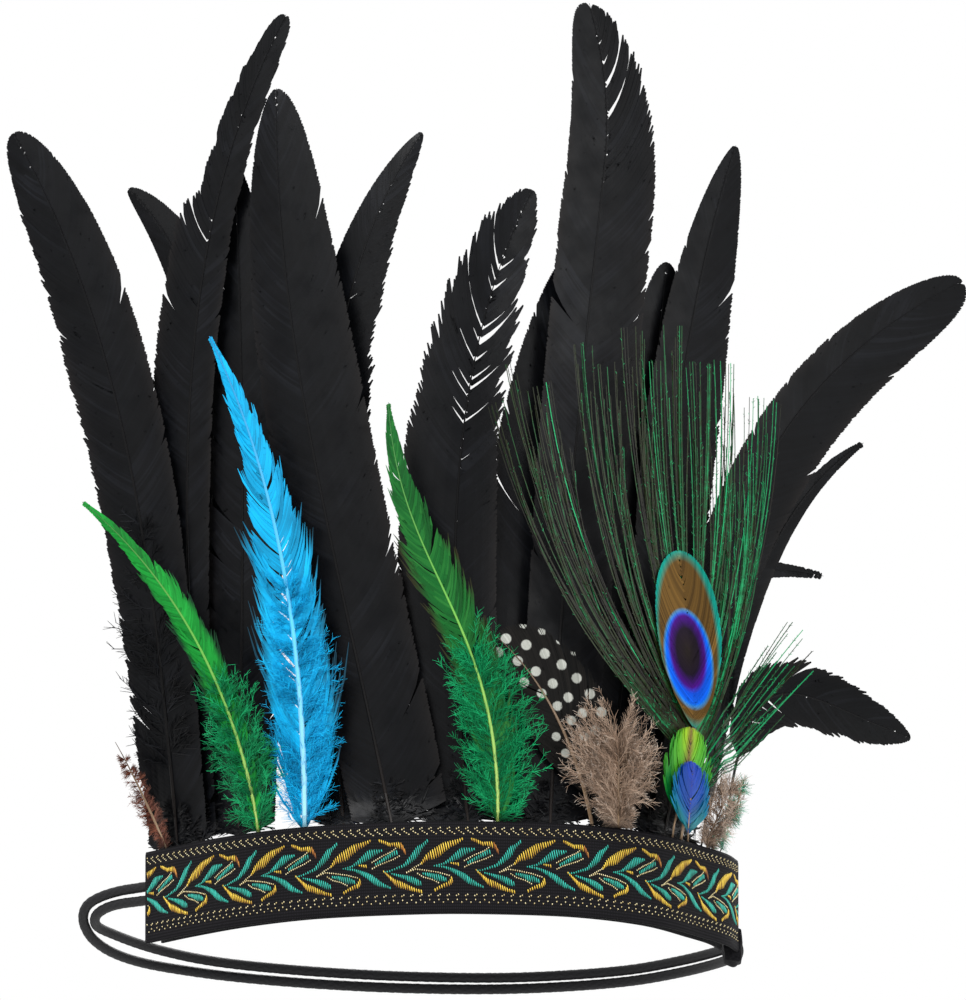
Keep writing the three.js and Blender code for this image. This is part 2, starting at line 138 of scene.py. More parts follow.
def node(material, kind, inputs=None, **settings):
    """Adds a node. An input is a value or another node's output."""
    made = material.node_tree.nodes.new("ShaderNode" + kind)
    for key, value in settings.items():
        setattr(made, key, value)
    for key, value in (inputs or {}).items():
        if isinstance(value, bpy.types.NodeSocket):
            material.node_tree.links.new(value, made.inputs[key])
        else:
            made.inputs[key].default_value = value
    return made


def ramp(material, factor, stops, interpolation="LINEAR"):
    """Colours by a number from 0 to 1. Each stop is (place, colour)."""
    made = node(material, "ValToRGB", {"Fac": factor})
    made.color_ramp.interpolation = interpolation
    elements = made.color_ramp.elements
    for index, (place, colour) in enumerate(stops):
        element = elements[index] if index < 2 else elements.new(place)
        element.position = place
        element.color = (*colour, 1)
    return made.outputs["Color"]


def mask(material, factor, *stops):
    """A grey ramp to blend by. Each stop is (place, level)."""
    return ramp(material, factor, [(place, (level,) * 3) for place, level in stops])


def blend(material, factor, first, second, mode="MIX"):
    """Two colours mixed by a factor."""
    made = node(material, "Mix", data_type="RGBA", blend_type=mode)
    for key, value in ((0, factor), (6, first), (7, second)):
        if isinstance(value, bpy.types.NodeSocket):
            material.node_tree.links.new(value, made.inputs[key])
        else:
            made.inputs[key].default_value = value if key == 0 else (*value, 1)
    return made.outputs[2]


def maths(material, operation, first, second=0.0, third=0.0):
    return node(material, "Math", {0: first, 1: second, 2: third}, operation=operation).outputs[0]


def weigh(material, first, share, second, other_share):
    """Two numbers added by their shares."""
    return maths(material, "ADD", maths(material, "MULTIPLY", first, share),
                 maths(material, "MULTIPLY", second, other_share))


def attribute(material, name):
    """The four numbers of an attribute that the mesh carries."""
    made = node(material, "Attribute", attribute_name=name)
    parts = node(material, "SeparateColor", {"Color": made.outputs["Color"]})
    return *parts.outputs, made.outputs["Alpha"]


def noise(material, scale, detail=2.0, stretch=(1, 1, 1), roughness=0.5):
    """Cloudy noise in object coordinates, finer with a larger scale."""
    place = node(material, "TexCoord").outputs["Object"]
    mapping = node(material, "Mapping", {"Vector": place, "Scale": stretch})
    made = node(material, "TexNoise",
                {"Vector": mapping.outputs[0], "Scale": scale, "Detail": detail, "Roughness": roughness})
    return made.outputs["Fac"]


def plug(material, socket, value):
    """Links a node's output to the shader."""
    material.node_tree.links.new(value, material.node_tree.nodes["Principled BSDF"].inputs[socket])


def bump(material, height, strength=0.5, distance=0.0002):
    """Relief from a height, distance in metres."""
    made = node(material, "Bump", {"Height": height, "Strength": strength, "Distance": distance})
    plug(material, "Normal", made.outputs[0])


def grain(material, scale=2600, strength=0.3, depth=0.00006, stretch=(1, 1, 1)):
    """A fine relief, so that the finish isn't perfectly smooth."""
    bump(material, noise(material, scale, 2, stretch), strength, depth)


# %% [markdown]
# ## Pieces from arrays
# A strand is a thin closed tube of three or six sides. `tubes` turns many of them at once into points
# and faces. A `Heap` gathers them and makes one mesh, with every face turned outwards by the order of
# its corners.

# %% Closed strands and the heap that joins them
def tubes(rings):
    """rings[strand, step, corner] are points; corners run anticlockwise seen from the tip."""
    count, steps, corners, _ = rings.shape
    index = np.arange(count * steps * corners).reshape(count, steps, corners)
    following = np.roll(index, -1, axis=2)
    quads = np.stack([index[:, :-1], following[:, :-1], following[:, 1:], index[:, 1:]], -1)
    return quads.reshape(-1, 4), index[:, 0, ::-1], index[:, -1]


def face_outward(rings):
    """Turns round the corners of every strand that would face inwards."""
    middle = rings.mean(axis=2, keepdims=True)
    spoke = rings - middle
    area = np.cross(spoke, np.roll(spoke, -1, axis=2)).sum(axis=2)
    ahead = np.gradient(middle[:, :, 0], axis=1)
    inward = (area * ahead).sum(axis=(1, 2)) < 0
    rings = rings.copy()
    rings[inward] = rings[inward][:, :, ::-1]
    return rings


class Heap:
    """Gathers closed strands, with the attribute that each point carries, and joins them."""

    def __init__(self):
        self.points, self.faces, self.values, self.slots, self.count = [], [], [], [], 0

    def add(self, rings, values, slot=0):
        rings = face_outward(rings)
        sides, starts, ends = tubes(rings)
        values = np.broadcast_to(values, (*rings.shape[:3], 4))
        self.points.append(rings.reshape(-1, 3))
        self.values.append(values.reshape(-1, 4))
        for faces in (sides, starts, ends):
            self.faces += (faces + self.count).tolist()
            self.slots += [slot] * len(faces)
        self.count += rings.size // 3

    def build(self, name, materials, slot, replaces=(), attribute_name="barb", smooth_faces=False):
        mesh = bpy.data.meshes.new(name)
        mesh.from_pydata(np.vstack(self.points).tolist(), [], self.faces, shade_flat=not smooth_faces)
        values = mesh.attributes.new(attribute_name, "FLOAT_COLOR", "POINT")
        values.data.foreach_set("color", np.vstack(self.values).astype(np.float32).ravel())
        for material in materials:
            mesh.materials.append(material)
        if len(materials) > 1:
            mesh.polygons.foreach_set("material_index", self.slots)
        return new_piece(name, mesh, replaces, sum(len(face) - 2 for face in self.faces))


# %% A piece from a mesh
tally = []  # triangles of every piece so far


def new_piece(name, mesh, replaces, triangles):
    """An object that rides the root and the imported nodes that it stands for."""
    piece = bpy.data.objects.new(name, mesh)
    bpy.context.scene.collection.objects.link(piece)
    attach(piece, "root")
    if replaces:
        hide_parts(*replaces)
    tally.append(triangles)
    print(f"{name}: {triangles} triangles")
    return piece


# %% [markdown]
# ## Elastic cords
# Two black braided elastics leave the pocket behind the ribbon's left end, fan a little apart, turn
# round the back and end in the knot at the ribbon's right end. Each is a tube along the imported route.
# The braid is real: two families of strands wind opposite ways, and where one lies over the other the
# surface rises.

# %% Cord measures in metres, and their routes in millimetres
CORD_DIAMETER = 0.0028
OUTER_LENGTH, INNER_LENGTH = 0.2908, 0.2843
outer_route = [
    (-66.2, -24.7, 3.6), (-68.9, -21.3, 3.7), (-73, -16, 3.9), (-78, -9.6, 4.1), (-83, -3.2, 3.6),
    (-86.6, 2, 2.3), (-88, 6.5, 0.2), (-87.6, 11.5, -2.3), (-85.3, 18, -4.9), (-80.5, 28, -6.7),
    (-73, 40, -7.5), (-62, 51.5, -7.8), (-46, 63, -8.1), (-24, 71.5, -8.6), (0, 75.6, -9.1),
    (24, 74, -9.6), (44, 66, -10.1), (61, 54, -10.5), (74, 39, -10.6), (83, 23, -10.9), (87.6, 8, -11.6),
    (88.4, -1, -12)]
inner_route = [
    (-66.2, -24.7, -0.2), (-68.9, -21.3, -0.1), (-73, -16, 0.2), (-77.5, -9.8, 0.6), (-81.2, -4.2, 0.5),
    (-84, 1.2, -0.3), (-84.9, 6.5, -1.4), (-84, 13, -2.2), (-80.2, 21.5, -2.7), (-73.6, 34, -3.3),
    (-66, 44.5, -3.9), (-55.5, 55, -4.5), (-42, 63.7, -4.9), (-22, 71.2, -5.4), (0, 75.1, -5.9),
    (24, 73.6, -6.5), (44, 65.6, -7), (61, 53.6, -7.4), (74, 38.6, -7.4), (83, 22.6, -7.7),
    (87.6, 8, -8.3), (88.4, -1, -8.7)]

# %% Cord finish: matt black thread, painted lighter on each strand's crown as a painted sheen and darker in the grooves as painted shade
elastic = new_material("braided_elastic", roughness=0.6, specular=0.2)
_, crown_sheen_and_groove_shade, _, _ = attribute(elastic, "braid")
# painted sheen and shade: the braid's crowns are painted lighter and the grooves between strands darker
plug(elastic, "Base Color", blend(elastic, crown_sheen_and_groove_shade, (0.0015, 0.0015, 0.002), (0.012, 0.012, 0.014)))
grain(elastic, 5200, depth=0.00005)


def frames_along(line):
    """Two directions across a line at each point, which don't twist about it."""
    along = np.gradient(line, axis=0)
    along /= np.linalg.norm(along, axis=1)[:, None]
    side = np.cross(along, (0, 0, 1))
    side /= np.linalg.norm(side, axis=1)[:, None]
    return side, np.cross(side, along)


def braided_tube(route, step, sides=18, strands=6, pitch=3.4, relief=0.1):
    """Rings of a round braid along a route, their values, and the middle line in metres."""
    line = smooth_line(route)
    run = run_of(line)
    where = np.linspace(0, run[-1], int(run[-1] / step))
    line = at_run(line, run, where)
    side, up = frames_along(line)
    turn = np.arange(sides) / sides
    first = strands * turn[None, :] + where[:, None] / pitch
    second = strands * turn[None, :] - where[:, None] / pitch
    first_is_over = (np.floor(first) + np.floor(second)) % 2 == 0
    crown = np.where(first_is_over, np.sin(np.pi * (first % 1)), np.sin(np.pi * (second % 1)))
    radius = CORD_DIAMETER / MM / 2 - relief * (1 - crown)
    angle = 2 * np.pi * turn
    around = side[:, None] * np.cos(angle)[:, None] + up[:, None] * np.sin(angle)[:, None]
    rings = line[:, None] + around * radius[..., None]
    # the crown, the second value, also carries the cord's painted sheen and groove shade
    values = np.stack([np.broadcast_to((where / run[-1])[:, None], crown.shape), crown, first_is_over * 1.0,
                       np.ones_like(crown)], -1)
    return rings[None], values[None], line * MM


for name, route, length in (("outer", outer_route, OUTER_LENGTH), ("inner", inner_route, INNER_LENGTH)):
    rings, values, path = braided_tube(route, step=0.46)
    heap = Heap()
    heap.add(rings * MM, values)
    cord = heap.build(f"cord_{name}", [elastic], "elastic", [f"elastic_cord_{name}"], "braid",
                      smooth_faces=True)

# %% [markdown]
# ## The band's line and the surface that the feathers stand in
# The quills stand in the pocket between ribbon and backing. Above it the feathers leave the band's
# curve for an open fan, which leans back a little. Every feather is laid out flat, sideways and up, and
# then wrapped onto this surface, each in a layer of its own, so they can overlap and never cut through
# each other.

# %% Band line
ribbon_height, ribbon_thickness = 25.0, 1.2
backing_height, backing_thickness = 24.0, 1.2
pocket = 3.4
band_top = ribbon_height / 2
band_stations = [(-70.5, -23), (-61, -35.5), (-46, -52), (-26.5, -66), (-2, -73.5), (19, -75), (46, -69.5),
                 (67, -54), (80.5, -32), (86.5, -20), (89.3, -9)]
band_line = smooth_line(band_stations, 120)
band_run = run_of(band_line)
band_length = band_run[-1]
band_heading = np.gradient(band_line, axis=0)
band_heading /= np.linalg.norm(band_heading, axis=1)[:, None]
print("band length", round(band_length, 1), "mm")


def band_point(distance, inward):
    """Points along the band, moved inward from the ribbon's middle."""
    place = at_run(band_line, band_run, distance)
    heading = at_run(band_heading, band_run, distance)
    return place + np.stack([-heading[..., 1], heading[..., 0]], -1) * np.asarray(inward)[..., None]


pocket_line = band_point(np.linspace(0, band_length, 201), ribbon_thickness / 2 + pocket / 2)

# %% Feather surface
flare_height, full_height, spread_height, back_lean = 60, 240, 150, 12
fan_x, fan_y, fan_softness, fan_left, fan_right = 15, -73, 40, 0.6, 0.75


def surface_depth(x, z):
    """The y of the fan, from the pocket's line at the band to the open fan above."""
    (first_x, first_y), (last_x, last_y) = pocket_line[0], pocket_line[-1]
    near = np.interp(x, pocket_line[:, 0], pocket_line[:, 1])
    near = np.where(x < first_x, first_y - 0.8 * (x - first_x), near)
    near = np.where(x > last_x, last_y + (x - last_x), near)
    slope = np.where(x > fan_x, fan_right, fan_left)
    fan = fan_y + slope * (np.hypot(x - fan_x, fan_softness) - fan_softness)
    lean = back_lean * (np.maximum(z, 0) / full_height) ** 2
    return mix(near, fan, smooth((z - band_top) / flare_height)) + lean


def side_stretch(x, z):
    """How much longer a step across the slanting surface is than the same step in x."""
    return np.hypot(1, (surface_depth(x + 1.5, z) - surface_depth(x - 1.5, z)) / 3)


def layer_offset(layer, z):
    """How far a layer lies behind the surface. Layers part just over the ribbon."""
    full, settle = (1.5 * layer - 0.9, 2.5) if layer < 0 else (1.7 * layer, 8)
    return full * smooth((z - band_top) / settle) * (1 + np.maximum(z, 0) / spread_height)


def wrap(flat, layer):
    """flat[..., (sideways, up, towards the viewer)] in mm becomes a place in metres."""
    x, z, out = flat[..., 0], flat[..., 1], flat[..., 2]
    y = surface_depth(x, z) + (layer_offset(layer, z) - out) * side_stretch(x, z)
    return np.stack([x, y, z], -1) * MM


# %% [markdown]
# ## How a feather is built
# A shaft carries a vane on each side, and a vane is a row of barbs. Each barb leaves the shaft at a
# slant, bends towards the tip and ends on the vane's outline. Hooks hold neighbours together, so barbs
# go in clumps that part here and there. The barbs are tilted like shingles, which gives a feather its
# fine shine.

# %% The shaft's line and the vane's outline
class Shaft:
    """The shaft of one row of the feather table, by its share of length from the band to the tip."""

    def __init__(self, row):
        start, end = np.array([row["base"], band_top]), np.array(row["tip"], float)
        chord = np.linalg.norm(end - start)
        reach = row.get("reach", (1 / 3, 1 / 3))
        leans = [math.radians(row["base_lean"]), math.radians(row["tip_lean"])]
        handles = [np.array([math.sin(a), math.cos(a)]) * chord * r for a, r in zip(leans, reach)]
        t = np.linspace(0, 1, 400)[:, None]
        points = ((1 - t)**3 * start + 3 * (1 - t)**2 * t * (start + handles[0])
                  + 3 * (1 - t) * t**2 * (end - handles[1]) + t**3 * end)
        run = run_of(points)
        self.length = run[-1]
        self.share = run / run[-1]
        heading = np.gradient(points, axis=0)
        self.heading = heading / np.linalg.norm(heading, axis=1)[:, None]
        hook = row.get("curl", 0) * np.maximum(0, (self.share - 0.8) / 0.2) ** 2
        self.points = points + np.stack([hook, 0 * hook], -1)

    def at(self, share):
        return at_run(self.points, self.share, share)

    def along(self, share):
        return at_run(self.heading, self.share, share)

    def across(self, share):
        heading = self.along(share)
        return np.stack([heading[..., 1], -heading[..., 0]], -1)


def vane_share(u, length, row):
    """Half-width of the vane as a share of its widest."""
    if "low" in row:
        rise = mix(row["low"], 1, smooth(u / row["widest"])) * smooth((u * length - 0.8) / 3)
    else:
        rise = smooth((u - row["bare"]) / (row["widest"] - row["bare"])) ** 0.35 * (u > row["bare"])
    to_tip = np.clip((u - row["widest"]) / (1 - row["widest"]), 0, 1)
    fall = (1 - to_tip ** (1.2 * row["point"])) ** (1 / row["point"])
    return np.where(to_tip > 0, fall, rise)


def down_share(u, length, row):
    """Half-width of the down as a share of its widest, with a gentle wave."""
    along = u / row["down_to"]
    body = np.minimum(smooth((u * length - 2.5) / 2.5), np.sqrt(np.clip(1 - along**3, 0, 1)))
    body = body * mix(0.6, 1, smooth(along / 0.5))
    return np.where(u < row["down_to"], body * (1 - 0.3 * ((u * length / 7) % 1)), 0)


# %% Strands that lie in a feather's layer
def strand_rings(line, half, thick, tilt=0.0):
    """Three-sided strands. line[strand, step, (sideways, up, out)], half-widths and thickness in mm."""
    heading = np.gradient(line[..., :2], axis=1)
    heading /= np.linalg.norm(heading, axis=2)[..., None] + 1e-9
    left = np.stack([-heading[..., 1], heading[..., 0], 0 * heading[..., 0]], -1)
    outward = np.array([0.0, 0.0, 1.0])
    half, thick = np.broadcast_to(half, line.shape[:2]), np.broadcast_to(thick, line.shape[:2])
    lift = tilt * half[..., None] * outward
    return np.stack([line + left * half[..., None] + lift, line - left * half[..., None] - lift,
                     line - outward * thick[..., None]], 2)


def bend(root, end, control, steps):
    """Quadratic curves from root to end, steps points each."""
    t = np.linspace(0, 1, steps)[None, :, None]
    return (1 - t)**2 * root[:, None] + 2 * t * (1 - t) * control[:, None] + t**2 * end[:, None]


QUILL_STEPS, SHAFT_STEPS = 5, 48  # rings of the shaft inside the pocket and above it


def add_shaft(heap, row, shaft, slot, girth):
    """The quill in the pocket and the shaft above it, one tapering closed tube."""
    quill = np.array([[row["base"], z] for z in np.linspace(row.get("foot", -8), band_top - 1, QUILL_STEPS)])
    share = np.linspace(0, 1, SHAFT_STEPS)
    middle = np.vstack([quill, shaft.at(share)])
    taper = np.r_[np.ones(QUILL_STEPS), 1 - 0.86 * share] * girth
    high = np.clip((middle[:, 1] - band_top) / 12, 0, 1)
    wide = taper / mix(side_stretch(middle[:, 0], middle[:, 1]), 1, high)
    deep = taper * mix(1.0, 0.55, high)
    across = np.vstack([np.tile([1.0, 0.0], (QUILL_STEPS, 1)), shaft.across(share)])
    angle = np.arange(6) / 6 * 2 * np.pi
    flat = middle[:, None] - across[:, None] * (np.cos(angle) * wide[:, None])[..., None]
    out = np.sin(angle) * deep[:, None] + 0.12 * high[:, None]
    rings = np.concatenate([flat, out[..., None]], -1)
    value = np.stack(np.broadcast_arrays(np.r_[np.zeros(QUILL_STEPS), share], 0.0, 0.5, 1.0), -1)
    heap.add(wrap(rings, row["layer"])[None], value[None, :, None], slot)


def start_feather(row, seed, shaft_slot, girth):
    """A heap with the shaft in it, the shaft's line and this feather's own random numbers."""
    shaft, heap = Shaft(row), Heap()
    add_shaft(heap, row, shaft, shaft_slot, girth)
    return heap, shaft, np.random.default_rng(seed)


# %% One side of a vane
def vane(row, shaft, side, rng, spacing=0.7, angle=40, width=2.0, steps=6, clump=14, stray=0.004, gather=0.1,
         ragged=0.012, cup=0.3, bow=0.14, thick=0.16, tilt=0.08, tip_width=0.3, lengthen=1.0, lift=0.05,
         cut=None):
    """Barbs of one side. Returns their rings and attribute values."""
    half = row["left"] if side < 0 else row["right"]
    bare = row.get("bare", 1.2 / shaft.length)
    # barb tips are spaced evenly along the edge of the vane
    u = np.linspace(bare, 1, 700)
    edge = shaft.at(u) + side * shaft.across(u) * (half * vane_share(u, shaft.length, row))[:, None]
    run = run_of(edge)
    count = max(12, int(run[-1] / spacing))
    place = (np.arange(count) + rng.uniform(0.2, 0.8, count)) / count
    s = np.interp(place * run[-1], run, u)
    # neighbours hold together in clumps, which part and stray together
    group = np.cumsum(rng.random(count) < 1 / clump)
    groups = group[-1] + 1
    middle = (np.bincount(group, s, groups) / np.maximum(np.bincount(group, minlength=groups), 1))[group]
    shift = rng.normal(0, 1, groups)[group]
    keep = np.clip((1 - s) / 0.15, 0, 1)
    end_at = np.clip(s + keep * (gather * (middle - s) + stray * shift + rng.normal(0, 0.001, count)), 0, 1)
    reach = lengthen * (1 + keep * (ragged * (rng.normal(0, 0.6, groups)[group] - 0.4)
                                    + rng.normal(0, ragged * 0.4, count)))
    if cut is not None:
        reach = reach * cut(end_at, group, rng)
    far = np.maximum(half * vane_share(end_at, shaft.length, row) * reach, 0.3)
    # each barb leaves the shaft lower down, and roots keep the order of the tips
    slant = np.radians(angle * (1 - 0.45 * smooth((s - 0.6) / 0.4)))
    root_at = np.maximum(s - far / (shaft.length * np.tan(slant)), bare * 0.8)
    root_at = np.minimum.accumulate(root_at[::-1])[::-1]
    root, end = shaft.at(root_at), shaft.at(end_at) + side * shaft.across(end_at) * far[:, None]
    span = np.linalg.norm(end - root, axis=1)[:, None]
    control = mix(root, end, 0.45) + side * shaft.across(root_at) * span * bow
    flat = bend(root, end, control, steps)
    t = np.linspace(0, 1, steps)[None]
    # the vane is cupped, and clumps lift off it by chance
    rise = (rng.normal(0, lift, groups)[group] + rng.normal(0, lift * 0.5, count))[:, None] * t
    out = 0.1 * (1 - t) + rise + cup * ((t * far[:, None] / half) ** 2 - 0.3)
    line = np.concatenate([flat, out[..., None]], -1)
    widths = 0.5 * spacing * width * np.where(t < 0.75, 1, mix(1, tip_width, (t - 0.75) / 0.25))
    chance = (0.5 * rng.random(groups)[group] + 0.5 * rng.random(count))[:, None]
    values = np.stack(np.broadcast_arrays(root_at[:, None], t * far[:, None] / half, chance,
                                          0.5 + 0.5 * side), -1)
    return strand_rings(line, widths, thick, tilt * side), values


def add_vane(heap, row, shaft, side, rng, above=0.0, **look):
    """Adds the barbs of one side to the heap."""
    rings, values = vane(row, shaft, side, rng, **look)
    rings[..., 2] += above
    heap.add(wrap(rings, row["layer"]), values[:, :, None])


# %% Down: loose barbs, each with soft barbules of its own
def down_barbs(row, shaft, rng, count, puff=2.2, curl=0.7, waves=(0.3, 1.2), slant=(20, 95), steps=7,
               first=0.0):
    """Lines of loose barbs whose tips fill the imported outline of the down, and their places on the shaft."""
    s = rng.uniform(first, row["down_to"], count) ** 1.1
    side = np.where(rng.random(count) < 0.5, -1, 1)
    wide = np.where(side < 0, row["down"], row.get("down_right", row["down"]))
    # barbs lean off the shaft and end anywhere inside the outline
    lean = np.radians(rng.uniform(*slant, count))
    fill = np.sqrt(rng.uniform(0.1, 1, count))
    room = np.maximum(down_share(np.clip(s + 0.04, 0, row["down_to"] * 0.99), shaft.length, row), 0.3)
    far = wide * room * fill
    root = shaft.at(s)
    ahead = np.clip(far / np.tan(np.clip(lean, 0.3, 1.7)), -3, 14)
    end = root + side[:, None] * shaft.across(s) * far[:, None] + shaft.along(s) * ahead[:, None]
    end[:, 1] = np.maximum(end[:, 1], band_top + rng.uniform(0.3, 4, count))
    span = np.linalg.norm(end - root, axis=1)[:, None]
    control = mix(root, end, 0.5) + rng.normal(0, 0.12, (count, 2)) * span
    flat = bend(root, end, control, steps)
    t = np.linspace(0, 1, steps)[None]
    normal = np.stack([-(end - root)[:, 1], (end - root)[:, 0]], -1) / span
    # each barb waves sideways and rises towards the viewer
    turns = rng.uniform(*waves, count)[:, None]
    phase = rng.uniform(0, 2 * np.pi, count)[:, None]
    sway = curl * t * np.sin(turns * 2 * np.pi * t + phase) * np.minimum(span / 8, 1)
    flat = flat + normal[:, None] * sway[..., None]
    out = t * rng.uniform(-0.3, 1, count)[:, None] * puff
    flat[..., 1] = np.maximum(flat[..., 1], band_top + 0.25)
    return np.concatenate([flat, np.maximum(out, -0.4)[..., None]], -1), s


def barbules(line, rng, each, length, half=0.07, angle=(12, 48), depth=0.35):
    """Short straight hairs on both sides of every line. Returns rings and where each starts on its line."""
    count, steps = line.shape[:2]
    t = np.sort(rng.uniform(0.08, 1, (count, each)), axis=1)
    at = t * (steps - 1)
    low = np.minimum(at.astype(int), steps - 2)
    part = (at - low)[..., None]
    rows = np.arange(count)[:, None]
    root = mix(line[rows, low], line[rows, low + 1], part)
    heading = line[rows, low + 1] - line[rows, low]
    heading /= np.linalg.norm(heading, axis=-1)[..., None] + 1e-9
    # hairs leave their line at an angle on either side
    turn = np.radians(rng.uniform(*angle, t.shape)) * np.where(rng.random(t.shape) < 0.5, -1, 1)
    x = heading[..., 0] * np.cos(turn) - heading[..., 1] * np.sin(turn)
    z = heading[..., 0] * np.sin(turn) + heading[..., 1] * np.cos(turn)
    rise = rng.normal(0, depth, t.shape)
    size = length * rng.uniform(0.5, 1.2, t.shape) * (1 - 0.45 * t)
    end = root + np.stack([x, z, rise], -1) * size[..., None]
    end[..., 1] = np.maximum(end[..., 1], band_top + 0.2)
    hairs = np.stack([root, end], 2).reshape(-1, 2, 3)
    return strand_rings(hairs, np.array([[1.0, 0.45]]) * half, 0.1), t


def add_down(heap, row, shaft, rng, count, slot=0, each=22, length=3.4, half=0.08, hair=0.05, **look):
    """A tuft: loose barbs with their barbules."""
    line, s = down_barbs(row, shaft, rng, count, **look)
    t = np.linspace(0, 1, line.shape[1])[None]
    chance = rng.random(count)[:, None]
    widths = half * (1 - 0.6 * t) * rng.uniform(0.7, 1.3, count)[:, None]
    values = np.stack(np.broadcast_arrays(s[:, None], 0.7 * t, chance, 0.0), -1)
    heap.add(wrap(strand_rings(line, widths, 0.14), row["layer"]), values[:, :, None], slot)
    if each:
        rings, where = barbules(line, rng, each, length, hair)
        tone = np.clip(chance + rng.normal(0, 0.15, where.shape), 0, 1)
        start = np.stack(np.broadcast_arrays(s[:, None], 0.7 * where, tone, 0.0), -1).reshape(-1, 1, 4)
        values = np.concatenate([start, start + [0, 0.3, 0, 0]], 1)
        heap.add(wrap(rings, row["layer"]), values[:, :, None], slot)


# %% The table of feathers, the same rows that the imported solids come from
def feather_row(name, layer, base, tip, base_lean, tip_lean, left, right, widest, point, **more):
    """One feather: base and tip in mm, leans in degrees, half-widths in mm, and the widest place's share."""
    return dict(name=name, layer=layer, base=base, tip=tip, base_lean=base_lean, tip_lean=tip_lean, left=left,
                right=right, widest=widest, point=point, **more)


black_feathers = [
    feather_row("far_left", 1, -62, (-107.5, 214), -5, -28, 10.5, 11, 0.58, 2.2, low=0.75, down=15,
                down_right=7.5, down_to=0.46),
    feather_row("bent_left", 4, -58.5, (-76, 197.5), -2, -42, 6.5, 9, 0.6, 1.8, low=0.8),
    feather_row("tall_left", 2, -55.5, (-33, 240.5), -3, 28, 10.3, 6.3, 0.5, 3, low=0.65),
    feather_row("behind_left", 3, -45.5, (-47, 201), 1, -3, 9, 11, 0.45, 1.7, low=0.9, foot_wide=14,
                foot_high=32),
    feather_row("bent_middle", 3, -17, (4, 205.5), -4, 34, 9, 11.5, 0.5, 1.6, low=1, foot_wide=14,
                foot_high=32),
    feather_row("front_left", 1, -4, (-35.5, 219), -11, 1, 11, 16.5, 0.45, 1.9, low=0.95),
    feather_row("centre", 2, 16.5, (34, 189), -5, 26, 15.5, 11, 0.5, 2.2, low=1),
    feather_row("wide_behind", 3, 30.5, (47, 176), 1, 12, 14, 13, 0.45, 1.7, low=0.9),
    feather_row("tallest", 1, 38.6, (58.3, 242), 2, 6, 10.5, 14.5, 0.66, 2.6, low=0.8, curl=-9),
    feather_row("round_tip", 4, 54, (70.5, 174), 5, 6, 9, 9, 0.55, 2, low=0.9),
    feather_row("right_upright", 3, 65, (89.3, 208.5), 3, 17, 8.5, 11.5, 0.55, 1.6, low=0.7),
    feather_row("far_right", 2, 69.3, (151.5, 177.5), 9, 57, 7.5, 12, 0.6, 2.6, low=0.5, reach=(0.4, 0.4)),
    feather_row("thin_right", 3, 79.4, (124, 129), 8, 52, 4, 3, 0.6, 1.3, bare=0.1),
    feather_row("wisp_right", 5, 77.6, (113, 91.5), 2, 95, 2.2, 2.2, 0.75, 1.3, bare=0.3, reach=(0.85, 0.35)),
    feather_row("drooping_right", 4, 84.6, (137, 51), 7, 101, 8.5, 8, 0.62, 1.5, bare=0.35,
                reach=(0.95, 0.55)),
]

# %% [markdown]
# ## Black feathers
# Fifteen black cock feathers make the silhouette. Their black is not flat: barbs differ a little at
# random, and clumps and cloudy patches are painted lighter as slanting grey streaks, a painted sheen;
# the black and its painted sheen have a hint of blue. Edges go thin and brownish.

# %% Black feather finish
black = new_material("black_feather", roughness=0.42, specular=0.1)
_, outward, chance, _ = attribute(black, "barb")
# painted sheen: the tone is partly random barb tone and partly clumps and cloudy patches painted lighter, as
# grey streaks where light would catch them
tone = weigh(black, chance, 0.45, noise(black, 60, 3), 0.6)
dark = ramp(black, tone, [(0.2, (0.0008, 0.0009, 0.0013)), (0.6, (0.0022, 0.0025, 0.0034)),
                          (0.95, (0.009, 0.01, 0.013))])
edge = maths(black, "POWER", outward, 6.0)
plug(black, "Base Color", blend(black, edge, dark, (0.009, 0.008, 0.008)))
gloss = node(black, "MapRange", {"Value": noise(black, 160, 3), "From Min": 0.3, "From Max": 0.7,
                                 "To Min": 0.3, "To Max": 0.5})
plug(black, "Roughness", gloss.outputs[0])
grain(black, 3200, 0.3, 0.00006)


def horn_finish(name, stops, roughness=0.35, specular=0.5):
    """A shaft's horn, coloured from its foot to its tip, with a grain along it."""
    finish = new_material(name, roughness, specular)
    plug(finish, "Base Color", ramp(finish, attribute(finish, "barb")[0], stops))
    grain(finish, 1500, 0.3, 0.00005, (4, 4, 0.3))
    return finish


shaft_black = horn_finish("dark_shaft", [(0.0, (0.014, 0.011, 0.01)), (0.12, (0.003, 0.0028, 0.003)),
                                         (1.0, (0.0012, 0.0012, 0.0018))], 0.4, 0.1)

# %% Worn barbs
def frayed(start, depth):
    """Barbs that are shorter by chance beyond a share of the length."""
    def cut(end_at, group, rng):
        loss = 0.5 * rng.random(group[-1] + 1)[group] + 0.5 * rng.random(len(end_at))
        return 1 - depth * smooth((end_at - start) / 0.25) * loss
    return cut


def stepped_left(end_at, group, rng):
    """The tall left feather has lost barbs high on its left, and its tip is frayed."""
    return mix(1, 0.6, smooth((end_at - 0.76) / 0.02)) * frayed(0.6, 0.25)(end_at, group, rng)


